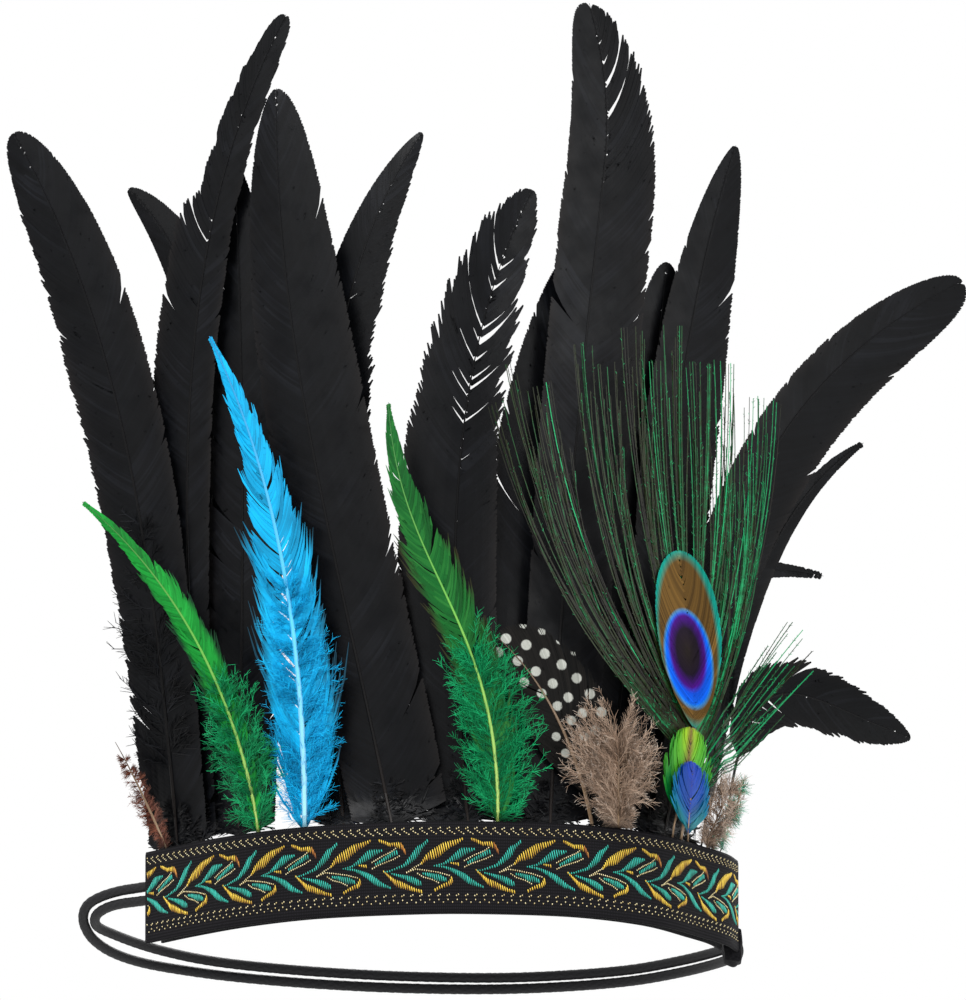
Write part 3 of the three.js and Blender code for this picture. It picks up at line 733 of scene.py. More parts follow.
# %% What differs on one side of a vane from the usual vane, -1 left and 1 right
lost = dict(clump=6, stray=0.003, gather=0.05)
special = {
    "tall_left": {-1: dict(cut=stepped_left, clump=6), 1: dict(cut=frayed(0.6, 0.3), clump=4)},
    "behind_left": {-1: dict(clump=6, stray=0.008, ragged=0.04)},
    "far_left": {-1: dict(clump=7, ragged=0.05)},
    "centre": {-1: dict(lost, cut=frayed(0.55, 0.4)), 1: dict(lost, cut=frayed(0.45, 0.5))},
    "tallest": {1: dict(cut=frayed(0.75, 0.3), clump=7, stray=0.002)},
    "bent_middle": {1: dict(cut=frayed(0.4, 0.25), clump=5)},
    "drooping_right": {side: dict(clump=5, ragged=0.08) for side in (-1, 1)},
    "thin_right": {-1: dict(clump=5, ragged=0.12)},
    "wisp_right": {side: dict(spacing=1.0, ragged=0.2) for side in (-1, 1)}}

# %% Build the black feathers
SEEDS = dict(black=100, hackle=200, tuft=300, guinea=400, scale=500, peacock=600, ribbon=700)
for number, row in enumerate(black_feathers):
    heap, shaft, rng = start_feather(row, SEEDS["black"] + number, shaft_slot=1, girth=0.5)
    for side in (-1, 1):
        add_vane(heap, row, shaft, side, rng, **special.get(row["name"], {}).get(side, {}))
    if "low" in row:  # dark down at the foot closes the row of feathers just above the ribbon
        foot = dict(row, down=row.get("foot_wide", row["left"]),
                    down_right=row.get("foot_wide", row["right"]),
                    down_to=row.get("foot_high", 15) / shaft.length)
        add_down(heap, foot, shaft, rng, 74, each=8, length=2.6, puff=0.5, slant=(45, 115), half=0.55,
                 hair=0.22, steps=4)
    if "down" in row:
        add_down(heap, row, shaft, rng, 90, each=14, length=5, half=0.2, hair=0.1, puff=1.0, slant=(35, 62),
                 first=0.12)
    heap.build(f"{row['name']}_feather", [black, shaft_black], "black_feather",
               [f"black_feather_{row['name']}"])

# %% [markdown]
# ## Dyed hackles
# A hackle is a neck feather of a cock: a slender vane of loose pointed barbs, with a thick tuft of soft
# curly down at its foot. These are dyed, one turquoise and two green. The dye is brightest near the
# shaft, the free barb tips stay darker, and the down is paler. So the colour follows how far out along
# a barb a point lies.

# %% Dyed finishes
def dyed(name, deep, bright, tip, pale, roughness=0.5):
    """Barbs by their own length, darker at the tip, with streaks along the feather."""
    finish = new_material(name, roughness=roughness, specular=0.15, sheen=0.03)
    _, outward, chance, _ = attribute(finish, "barb")
    streak = weigh(finish, chance, 0.7, noise(finish, 120, 3), 0.4)
    body = ramp(finish, streak, [(0.1, deep), (0.55, bright), (0.95, pale)])
    far = mask(finish, outward, (0.0, 0), (0.62, 0.05), (1.0, 1))
    plug(finish, "Base Color", blend(finish, far, body, tip))
    grain(finish)
    return finish


def downy(name, deep, bright, pale, roughness=0.75):
    """Dyed down, paler towards the hair tips."""
    finish = new_material(name, roughness=roughness, specular=0.08, sheen=0.12)
    _, outward, chance, _ = attribute(finish, "barb")
    tone = weigh(finish, chance, 0.6, outward, 0.45)
    plug(finish, "Base Color", ramp(finish, tone, [(0.05, deep), (0.5, bright), (0.98, pale)]))
    grain(finish, 3000, 0.2, 0.00005)
    return finish


turquoise = dyed("turquoise_barbs", (0.0, 0.12, 0.24), (0.0, 0.32, 0.6), (0.002, 0.035, 0.06),
                 (0.0, 0.44, 0.8))
turquoise_fluff = downy("turquoise_down", (0.0, 0.09, 0.22), (0.0, 0.28, 0.55), (0.005, 0.48, 0.85))
green = dyed("green_barbs", (0.0, 0.07, 0.008), (0.002, 0.2, 0.02), (0.001, 0.025, 0.008), (0.01, 0.34, 0.04))
olive = dyed("olive_green_barbs", (0.0, 0.025, 0.003), (0.001, 0.095, 0.012), (0.014, 0.014, 0.002),
             (0.02, 0.17, 0.025))
emerald_fluff = downy("emerald_down", (0.0, 0.035, 0.012), (0.0, 0.19, 0.06), (0.01, 0.42, 0.15))
pale_shaft = horn_finish("pale_blue_shaft", [(0.0, (0.3, 0.6, 0.75)), (0.4, (0.08, 0.5, 0.8)),
                                             (1.0, (0.0, 0.2, 0.45))])
lime_shaft = horn_finish("pale_green_shaft", [(0.0, (0.35, 0.5, 0.12)), (0.5, (0.12, 0.38, 0.05)),
                                              (1.0, (0.01, 0.12, 0.02))])

# %% Build the hackles
hackles = [
    (feather_row("turquoise_hackle", -1, -27.5, (-53.5, 149.5), 0, -25, 9, 9, 0.36, 1, bare=0, down=14,
                 down_to=0.5),
     turquoise, turquoise_fluff, pale_shaft, 210, 0.85),
    (feather_row("green_hackle_left", -2, -40, (-88, 106.5), -8, -48, 3.5, 4, 0.5, 1.1, bare=0, down=11,
                 down_to=0.42),
     green, emerald_fluff, lime_shaft, 170, 0.5),
    (feather_row("green_hackle_centre", -1, 24.5, (-5, 127.5), 1, -3, 6, 7, 0.45, 1.1, bare=0, down=14,
                 down_right=18, down_to=0.42, reach=(0.47, 0.4)),
     olive, emerald_fluff, lime_shaft, 230, 0.5),
]
for number, (row, barbs, down, shaft_finish, strands, girth) in enumerate(hackles):
    heap, shaft, rng = start_feather(row, SEEDS["hackle"] + number, 2, girth)
    for side in (-1, 1):
        add_vane(heap, row, shaft, side, rng, spacing=0.6, angle=30, width=1.4, clump=7, stray=0.012,
                 gather=0.25, ragged=0.12, tip_width=0.15, lift=0.12, tilt=0.12, steps=5)
        add_vane(heap, row, shaft, side, rng, spacing=1.2, angle=24, width=0.45, clump=3, stray=0.02,
                 gather=0.3, ragged=0.3, tip_width=0.2, lift=0.3, tilt=0.1, lengthen=1.2, steps=5)
    add_down(heap, row, shaft, rng, strands, slot=1, puff=2.6, slant=(15, 80))
    slot = "green_hackle" if "green" in row["name"] else "turquoise_hackle"
    heap.build(f"{row['name']}_dressed", [barbs, down, shaft_finish], slot, [row["name"]])

# %% [markdown]
# ## Down tufts
# Below the showy feathers sit tufts of body feathers that are nearly all down: a big brown one with
# whitish tips, a small brown one with a teal neighbour at the right end, and a rusty spiky one at the
# left end. Each is a few hundred curly strands on a short shaft.

# %% Down finishes
def tuft_finish(name, deep, middle, pale, tip, roughness=0.8):
    """Natural down in blotches, with pale tips."""
    finish = new_material(name, roughness=roughness, specular=0.08, sheen=0.15)
    _, outward, chance, _ = attribute(finish, "barb")
    tone = weigh(finish, chance, 0.65, noise(finish, 150, 2), 0.5)
    body = ramp(finish, tone, [(0.15, deep), (0.55, middle), (0.95, pale)])
    far = mask(finish, outward, (0.0, 0), (0.8, 0.08), (1.0, 0.9))
    plug(finish, "Base Color", blend(finish, far, body, tip))
    grain(finish, 3000, 0.2, 0.00005)
    return finish


brown_down = tuft_finish("brown_down", (0.06, 0.035, 0.022), (0.23, 0.145, 0.095), (0.42, 0.31, 0.23),
                         (0.7, 0.62, 0.54))
rust_down = tuft_finish("rust_down", (0.03, 0.009, 0.005), (0.11, 0.03, 0.017), (0.22, 0.075, 0.04),
                        (0.16, 0.07, 0.045))
teal_down = tuft_finish("teal_down", (0.0, 0.05, 0.025), (0.01, 0.2, 0.1), (0.05, 0.42, 0.25),
                        (0.1, 0.5, 0.33))
horn = horn_finish("horn_shaft", [(0.0, (0.3, 0.2, 0.12)), (1.0, (0.06, 0.035, 0.02))], 0.4, 0.4)

# %% Build the tufts
tufts = [
    (feather_row("brown_down_front", -3, 57, (57, 36), 0, 0, 8, 8, 0.5, 1.5, bare=0, down=19, down_right=14,
                 down_to=1), brown_down, "brown_down", 320, dict(puff=3.6, slant=(5, 95))),
    (feather_row("brown_down_right", -1, 80.9, (87.5, 31), 12, 12, 2, 2, 0.5, 1.5, bare=0, down=4.5,
                 down_right=5.5, down_to=1), brown_down, "brown_down", 90, dict(puff=2, slant=(10, 110))),
    (feather_row("teal_down_right", 1, 82.65, (91, 33), 9, 14, 1.5, 1.5, 0.5, 1.5, bare=0, down=2,
                 down_right=1.8, down_to=1), teal_down, "green_hackle", 50, dict(puff=1.2, slant=(10, 110))),
    (feather_row("rust_down", -1, -65, (-79, 42), -22, -30, 4, 2, 0.5, 1.2, bare=0.1, down=4.5, down_right=3,
                 down_to=0.9, foot=7.5), rust_down, "brown_down", 110,
                 dict(puff=1.5, slant=(45, 95), length=1.8)),
]
for number, (row, finish, slot, strands, look) in enumerate(tufts):
    heap, shaft, rng = start_feather(row, SEEDS["tuft"] + number, shaft_slot=1, girth=0.5)
    add_down(heap, row, shaft, rng, strands, **look)
    heap.build(f"{row['name']}_tuft", [finish, horn], slot, [row["name"]])

# %% [markdown]
# ## Guinea-fowl feather
# A guinea hen's feather is dark with rows of round pale spots. The spots lie in arcs that follow the
# edge, smaller towards the rim. Each point of a barb knows how near it is to a spot.

# %% Guinea-fowl feather
spot_rows = [  # first and last spot of a row, how far the row bows out, how many spots, and their size
    ((25.7, 68), (54.8, 47.7), 5, 8, 1.05), ((26.7, 63), (52.4, 44.4), 3.6, 7, 1.4),
    ((24.6, 59.2), (50.8, 39.2), 2.6, 7, 1.35), ((31.6, 51.2), (50.5, 32.6), 2, 6, 1.3),
    ((40.2, 36.7), (42.7, 32.3), 0, 2, 1.2)]
spots = []
for first, last, bow, count, radius in spot_rows:
    first, last = np.array(first), np.array(last)
    t = np.linspace(0, 1, count)[:, None]
    normal = np.array([last[1] - first[1], first[0] - last[0]]) / np.linalg.norm(last - first)
    centres = first + (last - first) * t - normal * bow * 4 * t * (1 - t)
    spots.append(np.hstack([centres, np.full((count, 1), radius)]))
spots = np.vstack(spots)
print("spots", len(spots))


def spot_value(points):
    """1 inside a spot and 0 well outside it, softly."""
    far = np.linalg.norm(points[..., None, :2] - spots[:, :2], axis=-1) / spots[:, 2]
    return np.clip(1.5 - far.min(axis=-1), 0, 1)


spotted = new_material("guinea_fowl", roughness=0.6, specular=0.08)
_, _, chance, spot = attribute(spotted, "barb")
ground = ramp(spotted, chance, [(0.0, (0.0015, 0.0015, 0.0015)), (1.0, (0.009, 0.008, 0.007))])
pale = ramp(spotted, chance, [(0.0, (0.26, 0.27, 0.24)), (1.0, (0.46, 0.47, 0.43))])
edge = mask(spotted, spot, (0.38, 0), (0.6, 1))
plug(spotted, "Base Color", blend(spotted, edge, ground, pale))
grain(spotted)
guinea = feather_row("guinea_fowl_feather", 0, 50, (23.5, 64), -10, -50, 9, 14, 0.55, 2, bare=0.2)
heap, shaft, rng = start_feather(guinea, SEEDS["guinea"], shaft_slot=1, girth=0.6)
for side in (-1, 1):
    rings, values = vane(guinea, shaft, side, rng, spacing=0.42, angle=34, width=1.7, steps=26, clump=7,
                         ragged=0.03, gather=0.15, tip_width=0.25)
    values = np.repeat(values[:, :, None], 3, axis=2)
    values[..., 3] = spot_value(rings)
    heap.add(wrap(rings, 0), values)
heap.build("guinea_fowl_feather_dressed", [spotted, horn], "spotted_feather", ["guinea_fowl_feather"])

# %% [markdown]
# ## Scale feathers
# Two small round feathers from a peacock's back cover the peacock feather's foot: a lime one with fine
# dark gaps between its barbs and a brown streak up the middle, and a deep blue one in front of it, teal
# at the foot.

# %% Scale feathers
def scale_finish(name, along_stops, rim, streak, streak_width):
    """Colours along the feather, a rim colour at the barb tips and a streak on the shaft."""
    finish = new_material(name, roughness=0.4, specular=0.2)
    along, outward, chance, _ = attribute(finish, "barb")
    body = ramp(finish, along, along_stops)
    body = blend(finish, maths(finish, "MULTIPLY", chance, 0.45), body, (0.003, 0.02, 0.01))
    far = mask(finish, outward, (0.55, 0), (1.0, 1))
    body = blend(finish, far, body, rim)
    near = mask(finish, outward, (0.0, 1), (streak_width, 0))
    plug(finish, "Base Color", blend(finish, near, body, streak))
    grain(finish)
    return finish


lime = scale_finish("lime_scale", [(0.2, (0.0, 0.2, 0.03)), (0.55, (0.12, 0.5, 0.02)),
                                   (0.85, (0.35, 0.55, 0.015))],
                    (0.05, 0.3, 0.02), (0.16, 0.1, 0.02), 0.12)
blue = scale_finish("blue_scale", [(0.0, (0.0, 0.2, 0.17)), (0.35, (0.0, 0.06, 0.36)),
                                   (0.8, (0.0, 0.04, 0.45))],
                    (0.0, 0.16, 0.34), (0.0, 0.03, 0.3), 0.08)
scales = [
    (feather_row("lime_scale_feather", -3, 71.5, (76.6, 42), 12, 0, 6.6, 6.6, 0.6, 2, bare=0.25), lime, 24),
    (feather_row("blue_body_feather", -4, 75.8, (77, 32.5), 2, 0, 5.3, 5.3, 0.55, 2, bare=0.1), blue, 30),
]
for number, (row, finish, angle) in enumerate(scales):
    heap, shaft, rng = start_feather(row, SEEDS["scale"] + number, shaft_slot=1, girth=0.5)
    for side in (-1, 1):
        for ply in (0, 1):  # a second, shorter ply of barbs lies on the first
            add_vane(heap, row, shaft, side, rng, above=0.3 * ply, spacing=0.36, angle=angle, width=1.25,
                     clump=4, ragged=0.1, gather=0.5, tip_width=0.2, lift=0.12, lengthen=1 - 0.25 * ply)
    heap.build(f"{row['name']}_dressed", [finish, horn], "scale_feather", [row["name"]])

# %% [markdown]
# ## Peacock feather
# The eye is a closed vane whose colours are rings: bronze, then a blue ring, then a dark violet heart.
# Round it stand the herl, long loose barbs with short barbules of their own, which make each strand a
# narrow fringe. The rings are measured where each barb point lies, so the pattern is exact and needs no
# picture.

# %% Peacock finishes
def ellipse(points, centre, half_width, half_height, tilt):
    """Distance from an ellipse's middle, 1 on its outline. tilt leans its top to the left."""
    angle = math.radians(tilt)
    x, z = points[..., 0] - centre[0], points[..., 1] - centre[1]
    return np.hypot((x * math.cos(angle) + z * math.sin(angle)) / half_width,
                    (-x * math.sin(angle) + z * math.cos(angle)) / half_height)


eye = new_material("peacock_eye", roughness=0.45, specular=0.08)
ground, ring, chance, heart = attribute(eye, "barb")
bronze = ramp(eye, chance, [(0.0, (0.07, 0.035, 0.005)), (1.0, (0.17, 0.09, 0.018))])
outer = mask(eye, ground, (0.0, 0), (0.44, 0), (0.5, 1))
skin = blend(eye, outer, bronze, (0.0, 0.26, 0.2))
in_ring = mask(eye, ring, (0.0, 1), (0.47, 1), (0.53, 0))
ring_blue = ramp(eye, ring, [(0.3, (0.0, 0.05, 0.62)), (0.46, (0.0, 0.12, 0.8)), (0.52, (0.0, 0.4, 0.75))])
skin = blend(eye, in_ring, skin, ring_blue)
in_heart = mask(eye, heart, (0.0, 1), (0.46, 1), (0.54, 0))
heart_colour = ramp(eye, heart, [(0.0, (0.014, 0.009, 0.007)), (0.3, (0.008, 0.003, 0.012)),
                                 (0.5, (0.06, 0.0, 0.22))])
skin = blend(eye, in_heart, skin, heart_colour)
shade = mask(eye, chance, (0.0, 0.55), (1.0, 1.15))
plug(eye, "Base Color", blend(eye, 1.0, skin, shade, "MULTIPLY"))
grain(eye)

herl_finish = new_material("peacock_herl", roughness=0.4, specular=0.2)
along, _, chance, _ = attribute(herl_finish, "barb")
tone = weigh(herl_finish, chance, 0.75, noise(herl_finish, 420, 3), 0.45)
body = ramp(herl_finish, tone, [(0.2, (0.004, 0.0035, 0.0015)), (0.5, (0.012, 0.02, 0.003)),
                                (0.72, (0.0, 0.09, 0.025)), (0.98, (0.005, 0.32, 0.11))])
plug(herl_finish, "Base Color", blend(herl_finish, along, body, (0.06, 0.035, 0.012)))
grain(herl_finish)

# %% Build the peacock feather
peacock = feather_row("peacock_feather", -2, 73.8, (73, 89.5), 14, -10, 8.6, 8.6, 0.72, 2, bare=0.42)
herl = [  # root height on the shaft, tip, and how far the strand bows
    (38, (24.5, 127), 0.34), (38, (28.5, 138), 0.32), (40, (36, 132), 0.3), (42, (46, 144), 0.26),
    (44, (53, 139), 0.22), (48, (61, 150), 0.16), (54, (66, 141), 0.1), (60, (71.5, 151.5), 0.05),
    (60, (79, 142), -0.05), (52, (86, 143), -0.12), (46, (90, 134.5), -0.18), (42, (98, 134), -0.22),
    (38, (93, 112), -0.24), (32, (105, 73), 0.04), (29, (110, 66), 0.02), (25, (99.5, 52), 0)]
STRANDS_EACH = 14


def herl_strands(rng, shaft):
    """Lines of the long strands, a small bunch for each packed one, and how green each is."""
    lines, greens = [], []
    for root, tip, bow in herl:
        many = STRANDS_EACH - 6 * (root < 34)
        spread = np.linspace(-1, 1, many) + rng.normal(0, 0.15, many)
        heights = root + rng.normal(0, 1.6, many) - 3 * np.abs(spread)
        share = np.clip((heights - band_top) / (peacock["tip"][1] - band_top), 0.02, 1)
        start = shaft.at(share)
        run = np.array(tip) - start
        normal = np.stack([-run[:, 1], run[:, 0]], -1) / np.linalg.norm(run, axis=1)[:, None]
        shorter = 1 - 0.3 * rng.random(many)[:, None] * (rng.random(many) < 0.75)[:, None]
        end = start + run * shorter + normal * (spread * 3.2)[:, None]
        control = start + (end - start) * 0.45 + normal * np.linalg.norm(run, axis=1)[:, None] * bow * 0.5
        flat = bend(start, end, control, 14)
        t = np.linspace(0, 1, 14)[None]
        out = 0.1 + 0.3 * np.sin(3 * t + rng.uniform(0, 6, many)[:, None]) + 0.3 * rng.random(many)[:, None]
        out = np.where(t < 0.45, mix(-0.2, out, smooth(t / 0.45)), out)
        lines.append(np.concatenate([flat, out[..., None]], -1))
        greens.append(np.clip(0.3 + 0.005 * (tip[0] - 45) + rng.normal(0, 0.25, many), 0, 1))
    return np.vstack(lines), np.hstack(greens)


heap, shaft, rng = start_feather(peacock, SEEDS["peacock"], shaft_slot=2, girth=0.75)
for side in (-1, 1):
    rings, values = vane(peacock, shaft, side, rng, spacing=0.45, angle=30, width=2.0, steps=18, clump=30,
                         gather=0.05, ragged=0.02, cup=0.15, lift=0.02, tilt=0.05)
    rings[..., 2] += 1.1
    values = np.repeat(values[:, :, None], 3, axis=2)
    values[..., 0] = ellipse(rings, (75.9, 65.8), 8.4, 24, 6) / 2
    values[..., 1] = ellipse(rings, (76.0, 60.4), 6.4, 13, 8) / 2
    values[..., 3] = ellipse(rings, (75.7, 62.3), 4.9, 10.4, 8) / 2
    heap.add(wrap(rings, peacock["layer"]), values, slot=0)
line, greens = herl_strands(rng, shaft)
t = np.linspace(0, 1, line.shape[1])[None]
widths = 0.2 * (1 - 0.5 * t) * rng.uniform(0.8, 1.2, len(line))[:, None]
values = np.stack(np.broadcast_arrays(0.5 * smooth(1 - t / 0.1), t, greens[:, None], 0.5), -1)
heap.add(wrap(strand_rings(line, widths, 0.2), peacock["layer"]), values[:, :, None], slot=1)
rings, where = barbules(line, rng, 44, 1.15, 0.07, angle=(22, 45), depth=0.25)
glint = np.clip(greens[:, None] + rng.normal(0, 0.3, where.shape), 0, 1)
values = np.stack(np.broadcast_arrays(0.0, where, glint, 0.5), -1).reshape(-1, 1, 1, 4)
heap.add(wrap(rings, peacock["layer"]), values, slot=1)
heap.build("peacock_feather_dressed", [eye, herl_finish, horn], "peacock", ["peacock_feather"])

# %% [markdown]
# ## Woven ribbon
# The ribbon is one inch of black trim with a leaf-and-vine pattern, woven in gold and teal. It bends
# round the forehead as one closed strip. The pattern is made of floats: short loose stitches of
# coloured weft lying side by side over the black ground, charted here once and repeated along the band.

# %% A closed strip along the band
def band_place(along, up, out):
    """mm along the band, up from its lower edge and out from its middle, in metres."""
    flat = band_point(along, -np.asarray(out))
    return np.stack([flat[..., 0], flat[..., 1], np.broadcast_to(up, flat.shape[:-1]) - band_top], -1) * MM


def band_sheet(name, replaces, finish, start, end, low, high, out, thickness, columns, rows):
    """A closed strip round the band: front, back and four edges, with along and up kept as its UVs."""
    along, up = np.linspace(start, end, columns), np.linspace(low, high, rows)
    soft = np.minimum(1, np.minimum(up - low, high - up) / 0.4)
    sides = []
    for face in (1, -1):
        height = face * thickness / 2 * (0.55 + 0.45 * soft)
        sides.append(band_place(along[:, None], up[None], out + height[None] + 0 * along[:, None]))
    points = np.vstack([side.reshape(-1, 3) for side in sides])
    index = np.arange(columns * rows).reshape(columns, rows)
    back = index + columns * rows
    rim = np.r_[index[:, 0], index[-1, 1:], index[-2::-1, -1], index[0, -2:0:-1]]
    rim_back = rim + columns * rows
    corners = [(index[:-1, :-1], index[1:, :-1], index[1:, 1:], index[:-1, 1:]),
               (back[:-1, :-1], back[:-1, 1:], back[1:, 1:], back[1:, :-1]),
               (np.roll(rim, -1), rim, rim_back, np.roll(rim_back, -1))]
    faces = np.vstack([np.stack(four, -1).reshape(-1, 4) for four in corners]).tolist()
    mesh = bpy.data.meshes.new(name)
    mesh.from_pydata(points.tolist(), [], faces, shade_flat=False)
    place = np.tile(np.stack(np.meshgrid(along, up, indexing="ij"), -1).reshape(-1, 2), (2, 1)) * MM
    points_of = np.array([loop.vertex_index for loop in mesh.loops])
    mesh.uv_layers.new(name="weave").data.foreach_set("uv", place[points_of].astype(np.float32).ravel())
    mesh.materials.append(finish)
    return new_piece(name, mesh, [replaces], 2 * len(faces))


# %% Ribbon ground: black warp and weft
FLOAT_ROOM = 0.3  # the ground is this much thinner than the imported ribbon, so the floats have room
ground = new_material("ribbon_ground", roughness=0.75, specular=0.12)
weave = node(ground, "UVMap", uv_map="weave").outputs[0]
warp = node(ground, "TexWave", {"Vector": weave, "Scale": 620.0, "Distortion": 0.5},
            bands_direction="X").outputs["Fac"]
weft = node(ground, "TexWave", {"Vector": weave, "Scale": 380.0, "Distortion": 0.8},
            bands_direction="Y").outputs["Fac"]
cloth = maths(ground, "MULTIPLY", warp, weft)
plug(ground, "Base Color", blend(ground, cloth, (0.0015, 0.0014, 0.002), (0.012, 0.0105, 0.014)))
bump(ground, cloth, 0.6, 0.00015)
ribbon = band_sheet("ribbon_ground", "ribbon_band", ground, 0, band_length, 0, ribbon_height, 0,
                    ribbon_thickness - FLOAT_ROOM, 300, 30)

# %% Leaf chart, one repeat
REPEAT = 25.0
FLOAT_SPACING = 0.62
# Each shape is a thread and a line of (along, up, float length); the floats stand side by side on the line.
shapes = [
    ("teal", [(0, 11.5, .4), (1.2, 11.6, .5), (5.2, 13, .9), (7.3, 14.9, 2), (9, 16.9, 2.7),
              (10.3, 18.3, 1.2), (11.8, 19.8, .9)]),
    ("gold", [(10.1, 13.6, .8), (11.2, 15, 1.5), (12.7, 15.8, 2.5), (14.4, 16.6, 3), (16.1, 17.9, 2.5),
              (18, 18.8, 1.7), (19.5, 19.3, 1.4), (21, 20.1, .7)]),
    ("teal", [(2, 10.9, .5), (4.1, 10.3, .9), (6.3, 9.5, 1.7), (8.2, 8.7, 2.3), (9.5, 8.2, 1.7),
              (10.4, 8, .6)]),
    ("gold", [(-.3, 11.6, .6), (1.2, 10.1, 1.1), (2.9, 8.4, 2.1), (4.6, 7.8, 2.1), (6.3, 7.1, 1.7),
              (8.4, 6.3, 1.1), (10.3, 5.8, 1)]),
    ("teal", [(13.5, 12.8, .4), (15.9, 13.3, .6), (17.3, 14.1, 1.1), (19, 15.2, 1.9), (20.7, 16.4, 2.5),
              (22.2, 16.9, 1.7), (24.4, 17.4, .5)]),
    ("teal", [(13.5, 12.8, .4), (16.3, 12.4, .7), (18, 11.7, 1.2), (20.1, 10.6, 1.9), (21.8, 9.5, 2.6),
              (23.3, 8.5, 2.1), (25, 7.7, 1.1), (26.7, 7, .6)]),
    ("teal", [(10.5, 10.7, .7), (12, 10.4, 1.2), (13.7, 9.7, 1.9), (15.2, 9.5, 1.9), (16.7, 9, 1.1)]),
    ("gold", [(18.2, 9, 1.9), (17.6, 8, 1.4), (16.3, 7.5, 1.2), (14.8, 6.9, .9), (13.3, 6, .9)]),
    ("gold", [(18, 13.5, .5), (19.9, 13.2, 1)]),
    ("teal", [(22.5, 13.6, .9), (24.8, 14.9, 1.1), (27.6, 16.5, 1.4), (28.6, 16.7, 1.3)]),
    ("gold", [(23.5, 20, .9), (24.4, 19.7, 1.1), (26.4, 18.8, 1.2), (27.3, 18.9, 1.1), (29.4, 18.5, 2.1)]),
    ("orange", [(29.6, 18.3, 2.1), (30.3, 17.3, 2.3), (30.7, 16.5, 1.3)]),
]
# Fine outlines are rows of single stitches.
dot_lines = [
    [(6, 11.1), (8, 12.4), (10, 13.5)], [(6, 11.2), (8.4, 12), (10.7, 11.7), (14.6, 11), (17.6, 10.1)],
    [(9, 10.8), (10.5, 9.8), (12.9, 9.1), (14.6, 8.2)], [(21.5, 14.2), (23.9, 15.6), (26.8, 16.9),
                                                         (28, 17.8)],
    [(21.6, 12.5), (23.1, 13.3), (27.3, 14.8), (29.4, 15.9)]]
BORDER_PERIOD = 2.45
border_dots = [(0, 22.9), (.55, 23.2), (.65, 22.35), (1.25, 21.95), (1.9, 21.55), (0, 4.7), (.55, 5.0),
               (0.2, 3.6), (1.42, 2.9)]


# %% Threads
def thread(name, deep, bright, pale, roughness, metallic=0.0):
    """Shiny thread, painted darker at the first end of each stitch, mostly its lower end, and paler at the
    other end, as painted shade and highlight; stitches also differ at random.
    """
    finish = new_material(name, roughness=roughness, specular=0.5)
    finish.node_tree.nodes["Principled BSDF"].inputs["Metallic"].default_value = metallic
    _, up, chance, _ = attribute(finish, "stitch")
    # painted shade and highlight: the tone rises from each stitch's first end to its last, besides a random
    # share
    tone = weigh(finish, up, 0.55, chance, 0.45)
    plug(finish, "Base Color", ramp(finish, tone, [(0.1, deep), (0.5, bright), (0.95, pale)]))
    grain(finish, 4200, 0.3, 0.00004, (1, 1, 0.2))
    return finish


threads = {
    "teal": thread("teal_thread", (0.0, 0.13, 0.1), (0.005, 0.34, 0.26), (0.02, 0.5, 0.4), 0.4),
    "gold": thread("gold_thread", (0.2, 0.075, 0.008), (0.62, 0.4, 0.03), (0.85, 0.62, 0.07), 0.35, 0.25),
    "orange": thread("orange_thread", (0.1, 0.025, 0.004), (0.32, 0.11, 0.012), (0.6, 0.3, 0.03), 0.4, 0.25),
    "cream": thread("cream_thread", (0.35, 0.25, 0.08), (0.7, 0.58, 0.3), (0.85, 0.78, 0.5), 0.45, 0.1)}
STITCH_STEPS = np.array([0, 0.28, 0.72, 1.0])  # rings along one stitch
DOT_HALF = 0.2  # half the length of a single stitch
EDGE_LOW, EDGE_HIGH = 1, 24  # stitches stay between these heights
LEAN = 0.1  # how far a float leans, as a share of its length
ribbon_surface = (ribbon_thickness - FLOAT_ROOM) / 2


def stitches(ends, half, height, rng):
    """Small arched stitches. ends[stitch, 2, (along, up)] in mm on the ribbon."""
    line = ends[:, :1] + (ends[:, 1:] - ends[:, :1]) * STITCH_STEPS[None, :, None]
    heading = ends[:, 1] - ends[:, 0]
    heading /= np.linalg.norm(heading, axis=1)[:, None]
    left = np.stack([-heading[:, 1], heading[:, 0]], -1)[:, None]
    arch = np.sin(np.pi * STITCH_STEPS)[None]
    wide = half * (0.55 + 0.45 * arch)[..., None]
    rise = height * (0.25 + 0.75 * arch) * rng.uniform(0.75, 1.25, len(ends))[:, None]
    sunk = -0.12  # the feet of a stitch lie under the ground's surface
    edge, crown = left * wide, left * wide * 0.55
    corners = [(edge, sunk), (crown, rise), (-crown, rise), (-edge, sunk)]
    return np.stack([band_place((line + offset)[..., 0], (line + offset)[..., 1], ribbon_surface + lifted)
                     for offset, lifted in corners], 2)


# %% Lay the floats along the band
pattern_start = float(np.interp(-5.8, band_line[:, 0], band_run))
first_repeat = -int(pattern_start // REPEAT) - 2
repeats = range(first_repeat, first_repeat + int(band_length // REPEAT) + 4)
floats = {key: [] for key in threads}
for number in repeats:
    shift = pattern_start + number * REPEAT
    for key, line in shapes:
        line = np.array(line)
        run = run_of(line[:, :2])
        steepness = max(1, run[-1] / max(np.ptp(line[:, 0]), 0.5))
        where = np.arange(0, run[-1] + 0.01, FLOAT_SPACING * steepness ** 0.5)
        along, up, tall = at_run(line, run, where).T
        floats[key] += [((shift + a + LEAN * h, u - h / 2), (shift + a - LEAN * h, u + h / 2))
                        for a, u, h in zip(along, up, tall)]
    for line in dot_lines:
        line = np.array(line)
        run = run_of(line)
        for a, u in at_run(line, run, np.arange(0, run[-1], FLOAT_SPACING)):
            floats["cream"].append(((shift + a, u - DOT_HALF), (shift + a, u + DOT_HALF)))
